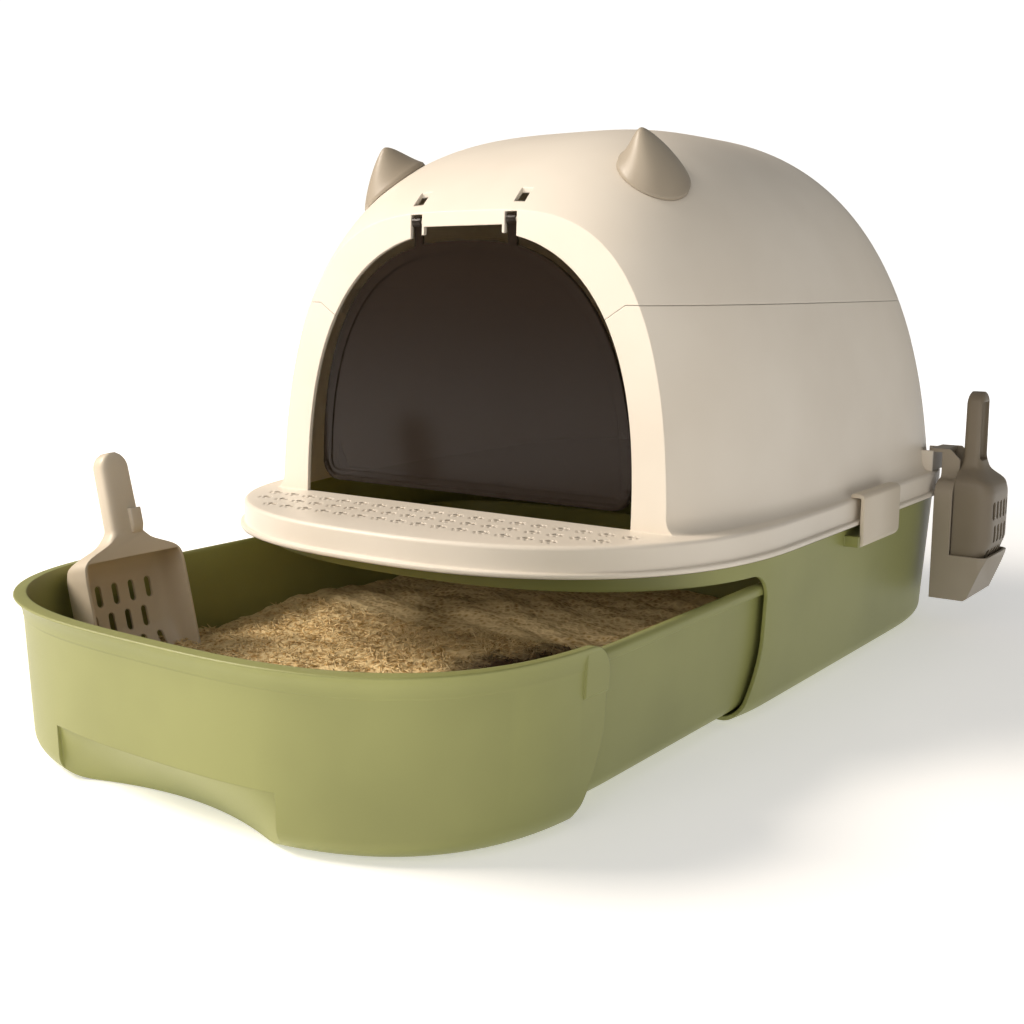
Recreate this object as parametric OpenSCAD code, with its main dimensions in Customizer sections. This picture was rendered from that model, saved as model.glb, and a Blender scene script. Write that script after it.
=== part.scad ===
// Hooded litter box with a pull-out drawer, drawn with the drawer part way out.
// X runs to the right of the box, -Y is the front and Z is up. The origin is on the
// floor, under the middle of the closed box.

/* [Rim and platform] */
// Width over the bead of the rim
rim_w = 430; // [400:1:470]
// Distance from the origin to the front edge of the platform
rim_front = 292; // [280:1:310]
// Distance from the origin to the rear edge of the rim
rim_back = 292; // [285:1:320]
// Y where the straight sides end and the rounded front begins
front_turn = -84; // [-100:1:-60]
// Y where the straight sides end and the rear corners begin
back_turn = 110; // [60:1:140]
// Squareness of the rounded front
front_square = 2.45; // [2.1:0.05:3]
// Squareness of the rear corners
back_square = 5; // [3:0.1:6]
// Height of the platform's top face
deck_z = 137.6; // [130:0.1:150]
// Thickness of the platform
deck_t = 3; // [2:0.1:4]
// Depth of the skirt below the platform's top face
skirt_h = 20; // [14:0.5:26]
// Height of the bead along the foot of the skirt
bead_h = 3.6; // [2:0.1:5]
// How far the bead stands out from the skirt
bead_out = 3; // [1.5:0.1:4]
// Wall of the skirt
skirt_t = 2.4; // [1.6:0.1:3]
// Radius of the platform's rounded top edge
deck_r = 3; // [1:0.1:4]

/* [Paw holes] */
// Spacing of the holes along a row
paw_pitch = 17.4; // [15:0.1:24]
// Spacing of the rows
paw_row = 20; // [16:0.5:26]
// Number of rows
paw_rows = 3; // [1:1:3]
// Y of the row nearest the door
paw_y = -206; // [-210:1:-202]
// Diameter of the pad's hole
pad_d = 6.6; // [5:0.1:7.5]
// Least distance from a hole's centre to the edge of the platform
paw_edge = 17; // [14:0.5:24]

/* [Housing] */
// Least gap between the housing's wall and the rim's skirt
skirt_gap = 1; // [0.6:0.1:3]
// Distance from the origin to the front of the band over the drawer
band_front = 262; // [250:1:270]
// Height of the drawer's mouth
mouth_h = 104.6; // [100:0.1:108]
// Y of the mouth's rear edge at half height
mouth_y = -110; // [-120:1:-100]
// Radius of the mouth's upper corners
mouth_r = 20; // [8:1:26]
// Wall of the housing
wall = 2.6; // [2:0.1:3.4]
// Thickness of the housing's floor
floor_t = 3; // [2:0.1:4]
// Draft: how far the wall comes in for each mm down
draft = 0.06; // [0.02:0.005:0.08]
// Draft of the front, which is steeper than the sides
front_draft = 0.01; // [0.005:0.005:0.04]
// Radius of the edge between wall and floor
foot_r = 14; // [8:1:18]
// Height of the runner ribs on the floor
rail_h = 1.6; // [1:0.1:2.4]
// Distance of the runner ribs from the middle
rail_x = 110; // [60:1:140]

// Diameter of the moulded foot under the middle of the floor
boss_d = 40; // [24:1:60]

/* [Foot pads] */
// Height that the pads stand below the floor
pad_h = 3; // [2:0.1:5]
// Diameter of a pad
pad_foot_d = 22; // [14:0.5:30]
// Depth that a pad's stem reaches into the floor
pad_stem = 2; // [1:0.1:2.4]
// Diameter of the stem
pad_stem_d = 8; // [5:0.1:10]
// Distance of the pads from the middle, along X
pad_x = 150; // [100:1:165]
// Y of the front pair
pad_front_y = -105; // [-112:1:-80]
// Y of the rear pair
pad_back_y = 235; // [180:1:245]

/* [Drawer] */
// How far the drawer is pulled out
pull = 200; // [150:1:300]
// Gap between drawer and housing at the sides
side_gap = 1.6; // [1:0.1:2.6]
// Gap between the drawer's end edges and the mouth when closed
end_gap = 2; // [1:0.1:4]
// Gap under the drawer, over the runner ribs
glide_gap = 0.3; // [0.2:0.05:1]
// Height of the drawer's side walls
side_top = 96; // [88:0.5:98]
// Gap between the front's top lip and the band
lip_gap = 1.2; // [0.8:0.1:3]
// Gap between the rear wall and the housing when closed
rear_gap = 6; // [4:0.5:20]
// Wall of the drawer
dwall = 2.6; // [2:0.1:3.4]
// Squareness of the drawer's front in plan
lip_square = 3; // [2.6:0.05:3.2]
// How far the front's lip stands out
lip_out = 6; // [3:0.5:8]
// Height of the flare below the front's lip
lip_h = 13; // [8:0.5:16]
// Height of the front's lower edge above the floor
skid = 0.6; // [0.4:0.1:3]
// Half-width of the finger recess
grip_x = 92; // [60:1:100]
// Height of the finger recess
grip_h = 34; // [26:0.5:40]
// Depth of the finger recess
grip_d = 32; // [24:0.5:38]

/* [Litter] */
// Height of the crests of the litter's surface above the ground
litter_z = 42; // [30:0.5:60]
// Depth of the hollows in that surface
litter_dip = 8; // [0:0.5:12]
// Distance from crest to crest
litter_pitch = 148; // [80:2:240]
// Gap between litter and drawer
litter_gap = 0.6; // [0.4:0.1:2]

/* [Hood] */
// Height of the crown
hood_top = 411.4; // [390:1:430]
// Half-width of the hood where it leaves its base fillet
hood_hw = 202.4; // [196:0.5:203]
// Height where the base fillet ends
fillet_z = 149; // [145:0.5:155]
// Distance from the origin to the hood's rear
hood_back = 279; // [270:1:281]
// Distance from the origin to the hood's front, before the front face cuts it
hood_nose = 241.6; // [236:0.2:260]
// Y of the hood's widest section
hood_mid = 53.6; // [40:0.2:90]
// Squareness of the hood's plan towards the front
hood_front_n = 3.64; // [2.6:0.02:4]
// Squareness of the hood's plan towards the rear
hood_back_n = 6; // [4:0.1:7]
// Squareness of the hood's section, at the front and the sides
hood_n = 3.05; // [2.4:0.05:3.4]
// Squareness of the hood's section at the rear
hood_rear_n = 1.9; // [1.7:0.05:3]
// Height of the section's lowest plane
hood_low = 37; // [-20:1:60]
// Wall of the hood
hood_t = 2.6; // [2:0.1:3.4]
// Y of the front face at the platform
face_y = -187.6; // [-192:0.2:-180]
// How far the front face leans back for each mm up
face_lean = 0.0544; // [0.03:0.0001:0.08]
// Thickness of the front face
face_t = 3; // [2:0.1:4]
// Height of the parting between the lower and the upper hood
part_z = 280.4; // [270:0.1:290]
// Gap along the parting
part_gap = 0.3; // [0.2:0.05:0.6]
// How far the parting steps down at the door
step_h = 10; // [4:0.5:12]
// Half-width where the step begins
step_x = 133; // [128:0.5:136]
// Length of the tongues that hold the upper hood
tongue_h = 9; // [5:0.5:14]
// Width of the tongues
tongue_w = 26; // [14:1:40]

/* [Door] */
// Half-width of the door opening at the platform
door_hw = 144; // [136:0.5:146]
// Height of the top of the door opening
door_top = 330; // [322:0.5:332]
// Squareness of the door opening
door_n = 2.55; // [2.2:0.05:3]
// Gap between door flap and opening
door_gap = 6; // [4:0.5:9]
// Gap between door flap and platform
sill_gap = 9; // [5:0.5:14]
// Thickness of the flap
flap_t = 2.4; // [1.8:0.1:3]
// Height of the bead on the flap
flap_bead = 1.2; // [0.8:0.1:2]
// Width of the bead on the flap
flap_bead_w = 5; // [3:0.5:8]
// Distance of the bead from the flap's edge
flap_inset = 7; // [5:0.5:12]
// Distance of the hinges from the middle
hinge_x = 41; // [36:0.5:46]
// Height of the hinge bars
hinge_z = 337; // [336:0.5:339]
// Diameter of the hinge bars
bar_d = 4; // [3:0.1:5]
// Running clearance on the bars, on the radius
bar_fit = 0.08; // [0.04:0.01:0.1]
// Width of the slots for the hinges
slot_w = 10; // [8:0.5:12]
// Width of a hinge arm
arm_w = 7; // [5:0.5:8]
// Wall of a hinge eye
eye_t = 2; // [1.6:0.1:2.6]
// Half-width of the notch between the slots
notch_x = 34; // [28:0.5:38]
// Height of the notch's top edge
notch_z = 333.6; // [331:0.1:336]

/* [Horns] */
// Distance of the horns' feet from the hood's widest side
horn_side = 87.4; // [82:0.2:97]
// Y of the horns' feet
horn_y = -115; // [-122:1:-105]
// Tilt of the horns' axes away from upright
horn_tilt = 38.7; // [34:0.1:43]
// Turn of the horns' axes away from sideways, towards the front
horn_turn = 34; // [26:1:42]
// Height of a horn's tip above its foot
horn_h = 25; // [16:0.5:40]
// Half-width of a horn's foot along the hood
horn_w = 25; // [16:0.5:28]
// Half-width of a horn's foot down the slope
horn_d = 29; // [18:0.5:31]
// How far a horn's tip leans forward
horn_lean = 12; // [0:0.5:16]
// How far a horn's tip leans up the slope
horn_rise = 12; // [0:0.5:16]
// Diameter of the plug that holds a horn
plug_d = 12; // [8:0.1:16]
// Length of the plug below the foot
plug_l = 12; // [8:0.5:16]
// Clearance round the plug, on the radius
plug_fit = 0.3; // [0.2:0.05:0.5]
// Gap between a horn's foot and the hood
horn_gap = 0.3; // [0.2:0.05:0.6]

/* [Side clips] */
// Y of the clips' middle
clip_y = 58; // [40:1:80]
// Length of a clip
clip_l = 74; // [50:1:90]
// Thickness of a clip
clip_t = 3; // [2:0.1:4]
// Height of the bar that a clip turns on
clip_bar_z = 106; // [103:0.2:108]
// Diameter of that bar
clip_bar_d = 5; // [4:0.1:6]
// Running clearance on that bar, on the radius
clip_fit = 0.08; // [0.04:0.01:0.1]
// Gap between a clip's lip and the platform
clip_gap = 0.5; // [0.3:0.1:1]
// Clearance of the clips' lips from the hood's foot
clip_foot = 0.4; // [0.3:0.1:3]

/* [Scoop holder] */
// Y of the holder's middle
caddy_y = 218; // [212:1:222]
// Gap between the hanging scoop's back and the cup
cup_gap = 1.2; // [0.6:0.1:2]
// Height of the holder's lower edge
caddy_z = 32; // [20:0.5:40]
// Height of the cup
cup_h = 38; // [28:0.5:50]
// Bevel of the cup's lower front edge
cup_edge = 2; // [1:0.5:3]
// Radius of the cup's corners
cup_r = 8; // [5:0.5:10]
// Height of the holder's side flanges
flange_z = 132; // [100:1:134]
// Depth of the side flanges
flange_d = 15; // [10:0.5:18]
// Wall of the holder
caddy_t = 2; // [1.6:0.1:2.4]
// Gap between the holder and the rim's bead
caddy_gap = 1.4; // [0.8:0.1:3]
// Height of the hook's top face
hook_z = 157; // [150:0.5:162]
// Width of the hook
hook_w = 32; // [24:0.5:36]
// Thickness of the hook
hook_t = 3; // [2:0.1:3.6]
// How far the hook's tongue stands in from the rim's bead
hook_in = 9; // [8:0.1:9.4]
// Gap between the hook's tongue and the platform
hook_gap = 0.3; // [0.2:0.05:0.6]
// Gap between the hook and its socket
hook_fit = 0.4; // [0.3:0.05:0.8]
// Wall of the socket
socket_t = 2.2; // [1.6:0.1:3]

/* [Scoops] */
// Width of the hanging scoop
hang_w = 58; // [50:0.5:60]
// Width of the scoop in the drawer
bowl_w = 84; // [70:0.5:90]
// Length of a scoop's bowl
bowl_l = 100; // [90:0.5:104]
// Depth of a bowl at the neck
bowl_d = 31; // [28:0.5:32]
// Depth of a bowl at the lip
bowl_lip = 12; // [10:0.5:16]
// Height of the bend in a bowl's back, as a share of its length
bowl_bend = 0.48; // [0.4:0.01:0.6]
// Wall of a scoop
bowl_t = 2; // [1.6:0.1:2.4]
// Length of a scoop's shoulder
neck_l = 16; // [10:0.5:20]
// Length of a scoop's handle
grip_len = 55; // [40:0.5:60]
// Width of a scoop's handle
grip_w = 24; // [18:0.5:26]
// Thickness of a scoop's handle
grip_t = 15; // [11:0.5:16]
// Wall of the hollow handle
grip_wall = 2.4; // [1.8:0.1:3]
// Width of a slot in a scoop
sift_w = 5; // [3:0.1:6]
// Length of a slot in a scoop
sift_l = 15; // [10:0.5:16]
// Spacing of the rows of slots
sift_row = 20; // [18:0.5:21]
// Gap under a standing scoop
scoop_gap = 0.3; // [0.2:0.05:0.6]
// Lean of the scoop in the drawer, in degrees
scoop_lean = 13; // [8:0.5:16]
// Y of the scoop in the drawer, with the drawer closed
scoop_y = -137; // [-140:1:-120]
// Distance from the drawer's inner wall to the open side of that scoop's bowl, at its lip
scoop_side = 48.8; // [45:0.2:60]

/* [Hidden] */
// Points in a quarter of a plan outline
q = 14;
// Reach of a cutting shape past the object
far = 700;
// Height of the housing's upper edge
shell_top = deck_z - deck_t - 0.3;
// Insets of the housing's wall at its upper edge
shell_in = bead_out + skirt_t + skirt_gap;
// Half-width of the housing at its upper edge
shell_hw = rim_w / 2 - shell_in;
// Rear of the housing at its upper edge
shell_back = rim_back - shell_in;
// Width of the fillet round the hood's foot
fillet_w = rim_w / 2 - bead_out - deck_r - hood_hw - 0.4;
// Y of the door's hinge line, on the inner plane of the front face
hinge_y = face_y + face_lean * (hinge_z - deck_z) + face_t;
// Outer radius of a hinge eye
eye_r = bar_d / 2 + bar_fit + eye_t;
// Height of the drawer's underside at the sides
tub_z = pad_h + floor_t + rail_h + glide_gap;
// Height of the drawer's inner floor
tub_floor = tub_z + dwall;
// Radius of the edge between the drawer's wall and floor
tub_r = 10;
// Y of the tub's front, inside the drawer's front
tub_front = -(band_front - 12);
// Width of the rolled rim along the drawer's sides
roll_w = 3.6;
// Height of the rolled rim
roll_h = 8;
// Height of the top of the drawer's front
lip_top = mouth_h - lip_gap;
// How far the mouth's lower corner stands in front of its middle
mouth_sweep = 21;
// Width of the diagonal step in the parting
step_w = 16;
// Reach of the cuts through the front face, behind its foot
face_cut = 8 * face_t;
// Distance of the horns' feet from the middle
horn_x = hood_hw - horn_side;
// Distance from the middle to the open side of the standing scoop's bowl
scoop_x = shell_hw - draft * (shell_top - tub_floor) - wall - side_gap - roll_w - dwall
    - scoop_side;
// Distance of the side bars from the middle
clip_x = rim_w / 2 - 1;
// Radius of a clip's barrel
clip_r = clip_bar_d / 2 + clip_fit + clip_t;
// Width of the holder
caddy_w = hang_w + 2 * (caddy_t + 1);
// X of the holder's back
caddy_x = rim_w / 2 + caddy_gap;
// Facets of a full circle
$fn = 48;

// Signed power that shapes a rounded rectangle.
function se(c, n) = (c < 0 ? -1 : 1) * pow(abs(c), 2 / n);

// Plan outline: hw half-width, yf front, yb rear, cf and cb the ends of the straight sides.
function outline(hw, yf, yb, cf, cb, nf, nb) = concat(
    [for (i = [0:2 * q]) let(a = 90 * i / q)
        [hw * se(cos(a), nb), cb + (yb - cb) * se(sin(a), nb)]],
    [for (i = [2 * q:4 * q]) let(a = 90 * i / q)
        [hw * se(cos(a), nf), cf + (cf - yf) * se(sin(a), nf)]]);

// Outline lifted to a height.
function at(pts, z) = [for (p = pts) [p[0], p[1], z]];

// Rim outline, drawn in by d.
function rim_ring(d, z) = at(outline(rim_w / 2 - d, -rim_front + d, rim_back - d,
    front_turn, back_turn, front_square, back_square), z);

// Housing outline at a height, drawn in by d.
function body_hw(z) = shell_hw - draft * (shell_top - z);
function body_back(z) = shell_back - draft * (shell_top - z);
function body_front(z) = band_front - front_draft * (shell_top - z);
function body_ring(d, z, out = 0, n = front_square) = at(outline(body_hw(z) - d,
    -body_front(z) + d - out, body_back(z) - d, front_turn, back_turn, n, back_square), z);

// Drawer tub outline at a height, drawn in by d.
function tub_ring(d, z) = at(outline(body_hw(z) - wall - side_gap - d, tub_front + d,
    body_back(z) - wall - rear_gap - d, front_turn, back_turn, front_square, back_square), z);

// Rings round an edge of radius r that rises from height z.
function edge_z(z, r, a) = z + r * (1 - cos(a));
function edge_in(r, a) = r * (1 - sin(a));

// Hood section at a height, drawn in by d.
function hood_s(z, top) = (z - hood_low) / (top - hood_low);
function hood_q(z, top, n) = pow(1 - pow(hood_s(z, top), n), 1 / n);
function hood_f(z, top, n) =
    z <= fillet_z ? 1 : hood_q(z, top, n) / hood_q(fillet_z, top, n);
function hood_ring(d, z) = let(top = hood_top - d, f = hood_f(z, top, hood_n),
    r = hood_f(z, top, hood_rear_n)) at(outline((hood_hw - d) * f,
    hood_mid - (hood_mid + hood_nose - d) * f, hood_mid + (hood_back - d - hood_mid) * r,
    hood_mid - 1, hood_mid, hood_front_n, hood_back_n), z);

// Heights between za and zb, closer together where the hood turns over.
function hood_angle(z, top) = asin(pow(hood_s(z, top), hood_n / 2));
function hood_levels(za, zb, n, top) = let(a = hood_angle(za, top), b = hood_angle(zb, top))
    [for (i = [0:n]) hood_low + (top - hood_low) * pow(sin(a + (b - a) * i / n), 2 / hood_n)];
function crown(d) = hood_low + (hood_top - d - hood_low) * pow(sin(87.6), 2 / hood_n);

// Profile of the drawer's mouth in Y and Z, shifted by dy and dz.
function mouth_pts(dy, dz) = concat([[-far, -9], [mouth_y - mouth_sweep + dy, -9]],
    [for (i = [0:6]) let(z = 8 + 52 * i / 6)
        [mouth_y - mouth_sweep * pow((60 - z) / 52, 1.9) + dy, z]],
    [for (i = [0:6]) let(a = 15 * i)
        [mouth_y - mouth_r * (1 - cos(a)) + dy, mouth_h - mouth_r * (1 - sin(a)) + dz]],
    [[-far, mouth_h + dz]]);

// Profile of the drawer's hollow front, open at the top.
function front_pts(dy) = concat([[-far, -9], [mouth_y - mouth_sweep + dy, -9]],
    [for (i = [0:6]) let(z = 8 + 52 * i / 6)
        [mouth_y - mouth_sweep * pow((60 - z) / 52, 1.9) + dy, z]],
    [[mouth_y + dy, 140], [-far, 140]]);

// Door opening and flap outline in X and Z, drawn in by d, with its foot at zb.
function door_pts(d, zb) = let(rise = door_top - deck_z - d,
    a0 = asin(pow((zb - deck_z) / rise, door_n / 2)))
    [for (i = [0:3 * q]) let(a = 180 - a0 - (180 - 2 * a0) * i / (3 * q))
        [(door_hw - d) * se(cos(a), door_n), deck_z + rise * se(sin(a), door_n)]];

// Height of the hood's surface at x and y, in front of its widest section.
function dome_z(x, y) = let(n = hood_front_n, f = pow(pow(abs(x) / hood_hw, n)
    + pow(abs(y - hood_mid) / (hood_mid + hood_nose), n), 1 / n))
    hood_low + (hood_top - hood_low)
    * pow(1 - pow(f * hood_q(fillet_z, hood_top, hood_n), hood_n), 1 / hood_n);

// Y of the drawer's front at x and z.
function front_at(x, z) = front_turn - (body_front(z) + front_turn)
    * pow(1 - pow(abs(x) / body_hw(z), lip_square), 1 / lip_square);

// Ring of the finger recess: top edge or lower edge, grown by g.
function grip_top(g) = at(concat(
    [for (i = [-6:6]) let(x = -(grip_x + g) * i / 6) [x, front_at(x, grip_h) + 1.5 + g]],
    [[-grip_x - g, -far], [grip_x + g, -far]]), grip_h + g);
function grip_low(g) = at(concat(
    [for (i = [-6:6]) let(x = -(grip_x + g) * i / 6)
        [x, -body_front(0) + grip_d + 2 - 24 * pow(x / 92, 2) + g]],
    [[-grip_x - g, -far], [grip_x + g, -far]]), -9);

// Solid through a list of rings that run anticlockwise seen from above.
module loft(rings) {
    n = len(rings[0]);
    m = len(rings);
    polyhedron([for (r = rings) for (p = r) p], concat(
        [[for (i = [0:n - 1]) i], [for (i = [0:n - 1]) m * n - 1 - i]],
        [for (k = [0:m - 2]) for (i = [0:n - 1])
            [k * n + i, (k + 1) * n + i, (k + 1) * n + (i + 1) % n]],
        [for (k = [0:m - 2]) for (i = [0:n - 1])
            [k * n + i, (k + 1) * n + (i + 1) % n, k * n + (i + 1) % n]]));
}

// Prism along X of a profile in Y and Z.
module prism_x(pts, x0, x1) {
    translate([x0, 0, 0]) rotate([90, 0, 90]) linear_extrude(x1 - x0) polygon(pts);
}

// Prism along Y of a profile in X and Z.
module prism_y(pts, y0, y1) {
    translate([0, y1, 0]) rotate([90, 0, 0]) linear_extrude(y1 - y0) polygon(pts);
}

// Everything behind the plane of the front face, set back by d.
module behind_face(d) {
    prism_x([[face_y - face_lean * deck_z + d, 0], [far, 0], [far, far + deck_z],
        [face_y + face_lean * far + d, far + deck_z]], -far, far);
}

// Solid hood, drawn in by d, from height z0 up to the crown.
module hood_solid(d, z0) {
    top = hood_top - d;
    loft(concat([hood_ring(d, z0)],
        [for (z = hood_levels(max(z0 + 1, fillet_z), crown(d), 15, top)) hood_ring(d, z)]));
}

// Lower part of the hood as a solid, with the fillet at its foot.
module foot_solid() {
    rise = fillet_z - deck_z;
    loft(concat([hood_ring(-fillet_w, deck_z - 1)],
        [for (a = [90, 65, 40, 18])
            hood_ring(-fillet_w * (1 - cos(a)), fillet_z - rise * sin(a))],
        [for (z = hood_levels(fillet_z, part_z, 5, hood_top)) hood_ring(0, z)]));
}

// Cut of the door opening through the front face.
module doorway() {
    prism_y(door_pts(0, deck_z), face_y - face_cut, face_y + face_cut);
}

// Line of the parting on the front face, lifted by g.
function part_pts(g) = [[-step_x, part_z + g], [-step_x + step_w, part_z - step_h + g],
    [step_x - step_w, part_z - step_h + g], [step_x, part_z + g]];

// Platform and skirt of the rim, open underneath.
module rim_tray() {
    foot = deck_z - skirt_h;
    loft([rim_ring(bead_out + skirt_t, deck_z - deck_t),
        rim_ring(bead_out + skirt_t, foot),
        rim_ring(0.6, foot),
        rim_ring(0, foot + 0.6),
        rim_ring(0, foot + bead_h),
        rim_ring(bead_out, foot + bead_h + 1.2),
        rim_ring(bead_out, deck_z - deck_r),
        rim_ring(bead_out + deck_r * 0.3, deck_z - deck_r * 0.3),
        rim_ring(bead_out + deck_r, deck_z)]);
}

// Rows of holes in the platform, staggered from row to row.
module paw_holes() {
    for (r = [0:paw_rows - 1]) {
        y = paw_y - paw_row * r;
        reach = (rim_w / 2) * pow(1 - pow((front_turn - y) / (rim_front + front_turn),
            front_square), 1 / front_square) - paw_edge;
        shift = r % 2 == 0 ? 0 : 0.5;
        n = floor(reach / paw_pitch - shift);
        for (i = [-n - 2 * shift:n])
            translate([(i + shift) * paw_pitch, y, deck_z - deck_t - 1])
                cylinder(d = pad_d, h = deck_t + 2, $fn = 14);
    }
}

// Two ribs that hold the hook of the scoop holder.
module socket() {
    for (s = [-1, 1])
        translate([hood_hw - 8, caddy_y + s * (hook_w / 2 + hook_fit + socket_t / 2)
            - socket_t / 2, deck_z - 1])
            cube([rim_w / 2 - bead_out - deck_r - hood_hw + 8, socket_t, hook_z - deck_z - 1]);
}

module lid_base() {
    color("#E6DCCB")
    difference() {
        union() {
            rim_tray();
            intersection() {
                foot_solid();
                behind_face(0);
            }
            socket();
        }
        intersection() {
            loft(concat([hood_ring(hood_t, deck_z - deck_t - 3)],
                [for (z = hood_levels(fillet_z, part_z + 4, 5, hood_top - hood_t))
                    hood_ring(hood_t, z)]));
            behind_face(face_t);
        }
        doorway();
        prism_y(concat(part_pts(0), [[step_x, part_z + 2], [-step_x, part_z + 2]]),
            face_y - face_cut, face_y + face_cut);
        paw_holes();
    }
}

// One tongue ring inside the lower hood, cut to six tongues.
module tongues() {
    intersection() {
        translate([0, 0, part_z - tongue_h])
        linear_extrude(tongue_h + 9)
        difference() {
            polygon([for (p = hood_ring(hood_t + 0.5, part_z)) [p[0], p[1]]]);
            polygon([for (p = hood_ring(hood_t + 2.7, part_z)) [p[0], p[1]]]);
        }
        union() {
            for (y = [hood_mid - 0.56 * hood_hw, hood_mid + 0.18 * hood_hw])
                translate([-far / 2, y - tongue_w / 2, 0]) cube([far, tongue_w, far]);
            for (x = [-0.35 * hood_hw, 0.35 * hood_hw])
                translate([x - tongue_w / 2, hood_mid + 0.23 * hood_hw, 0])
                    cube([tongue_w, far, far]);
        }
        hood_solid(1, part_z - tongue_h - 5);
    }
}

// Frame of a horn: origin on the hood, Z along the horn's axis, X down the slope.
module horn_frame() {
    translate([horn_x, horn_y, dome_z(horn_x, horn_y)]) rotate([0, 0, -horn_turn]) rotate([0, horn_tilt, 0])
        children();
}

module upper_hood() {
    slot_top = hinge_z + eye_r + 1;
    color("#F1E9DB")
    union() {
        difference() {
            intersection() {
                hood_solid(0, part_z - step_h - 1);
                behind_face(0);
            }
            intersection() {
                hood_solid(hood_t, part_z - step_h - 4);
                behind_face(face_t);
            }
            translate([-far / 2, face_y + face_cut, 0]) cube([far, far, part_z + part_gap]);
            prism_y(concat([[-far / 2, 0], [-far / 2, part_z + part_gap]],
                part_pts(part_gap), [[far / 2, part_z + part_gap], [far / 2, 0]]),
                face_y - far / 2, face_y + face_cut);
            doorway();
            translate([-notch_x, face_y, door_top - 5])
                cube([2 * notch_x, face_cut, notch_z - door_top + 5]);
            for (s = [-1, 1]) {
                translate([s * hinge_x - slot_w / 2, face_y, door_top - 14])
                    cube([slot_w, face_cut, slot_top - door_top + 14]);
                translate([s * (hinge_x + 3) - 4.5, hinge_y + face_t, hinge_z + 5])
                    cube([9, 10, 20]);
            }
            for (s = [0, 1]) mirror([s, 0, 0]) horn_frame()
                translate([0, 0, -plug_l - 4]) cylinder(r = plug_d / 2 + plug_fit, h = 30);
        }
        for (s = [-1, 1])
            translate([s * hinge_x - slot_w / 2 - 3, hinge_y, hinge_z])
                rotate([0, 90, 0]) cylinder(d = bar_d, h = slot_w + 6);
        tongues();
    }
}

module door_flap() {
    sill = deck_z + sill_gap;
    inset = door_gap + flap_inset;
    color("#4A3828")
    difference() {
        union() {
            prism_y(door_pts(door_gap, sill), hinge_y - flap_t / 2, hinge_y + flap_t / 2);
            difference() {
                prism_y(door_pts(inset, sill + flap_inset),
                    hinge_y - flap_t / 2 - flap_bead, hinge_y);
                prism_y(door_pts(inset + flap_bead_w, sill + flap_inset + flap_bead_w),
                    hinge_y - flap_t - flap_bead, hinge_y + 1);
            }
            for (s = [-1, 1]) {
                translate([s * hinge_x - arm_w / 2, hinge_y - flap_t / 2, door_top - 22])
                    cube([arm_w, flap_t, hinge_z - door_top + 22]);
                translate([s * hinge_x - arm_w / 2, hinge_y, hinge_z])
                    rotate([0, 90, 0]) cylinder(r = eye_r, h = arm_w);
            }
        }
        for (s = [-1, 1])
            translate([s * hinge_x - arm_w, hinge_y, hinge_z])
                rotate([0, 90, 0]) cylinder(r = bar_d / 2 + bar_fit, h = 2 * arm_w);
    }
}

// Right-hand horn, cut to sit on the hood.
module horn() {
    n = 28;
    difference() {
        horn_frame()
        union() {
            loft([for (t = [-0.5, 0, 0.18, 0.36, 0.54, 0.7, 0.83, 0.92, 0.98, 1])
                let(u = max(t, 0), r = pow(1 - u * 0.985, 0.62), b = pow(u, 1.25))
                [for (i = [0:n - 1]) let(a = 360 * i / n)
                    [horn_d * r * cos(a) - horn_rise * b,
                    horn_w * r * sin(a) - horn_lean * b, horn_h * t]]]);
        }
        hood_solid(-horn_gap, part_z);
    }
    horn_frame() translate([0, 0, -plug_l]) cylinder(d = plug_d, h = plug_l + 6);
}

module horn_right() {
    color("#A79C8A") horn();
}

module horn_left() {
    color("#A79C8A") mirror([1, 0, 0]) horn();
}

module housing() {
    inner_r = foot_r - wall;
    color("#8A8C50")
    difference() {
        union() {
            difference() {
                loft(concat(
                    [for (a = [0, 30, 60, 90])
                        body_ring(edge_in(foot_r, a), edge_z(pad_h, foot_r, a))],
                    [body_ring(0, shell_top), body_ring(wall, shell_top)],
                    [for (a = [90, 60, 30, 0]) body_ring(wall + edge_in(inner_r, a),
                        edge_z(pad_h + floor_t, inner_r, a))]));
                prism_x(mouth_pts(0, 0), -far, far);
            }
            for (s = [-1, 1])
                translate([s * rail_x - 3, mouth_y - 14, pad_h + 1])
                    cube([6, body_back(0) - mouth_y - 20, floor_t - 1 + rail_h]);
            for (s = [0, 1]) mirror([s, 0, 0]) clip_bar();
            cylinder(d = boss_d, h = pad_h + 1);
        }
        pad_places() translate([0, 0, pad_h - 1])
            cylinder(d = pad_stem_d + 0.4, h = pad_stem + 1.4);
    }
}

// Bar for a side clip, held by a bracket at each end.
module clip_bar() {
    half = clip_l / 2 + 1;
    root = body_hw(clip_bar_z) - wall / 2;
    translate([clip_x, clip_y - half - 1, clip_bar_z])
        rotate([-90, 0, 0]) cylinder(d = clip_bar_d, h = 2 * half + 2);
    for (y = [clip_y - half - 4, clip_y + half])
        translate([root, y, clip_bar_z - 4])
            cube([clip_x + clip_bar_d / 2 + 1 - root, 4, 8]);
}

module pad_places() {
    for (s = [-1, 1]) for (y = [pad_front_y, pad_back_y]) translate([s * pad_x, y, 0]) children();
}

// Foot pad with a stem that plugs into the floor.
module foot_pad(x, y) {
    color("#3A3A36")
    translate([x, y, 0]) union() {
        cylinder(d = pad_foot_d, h = pad_h);
        cylinder(d = pad_stem_d, h = pad_h + pad_stem);
    }
}

module foot_pad_front_left() {
    foot_pad(-pad_x, pad_front_y);
}

module foot_pad_front_right() {
    foot_pad(pad_x, pad_front_y);
}

module foot_pad_rear_left() {
    foot_pad(-pad_x, pad_back_y);
}

module foot_pad_rear_right() {
    foot_pad(pad_x, pad_back_y);
}

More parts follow.
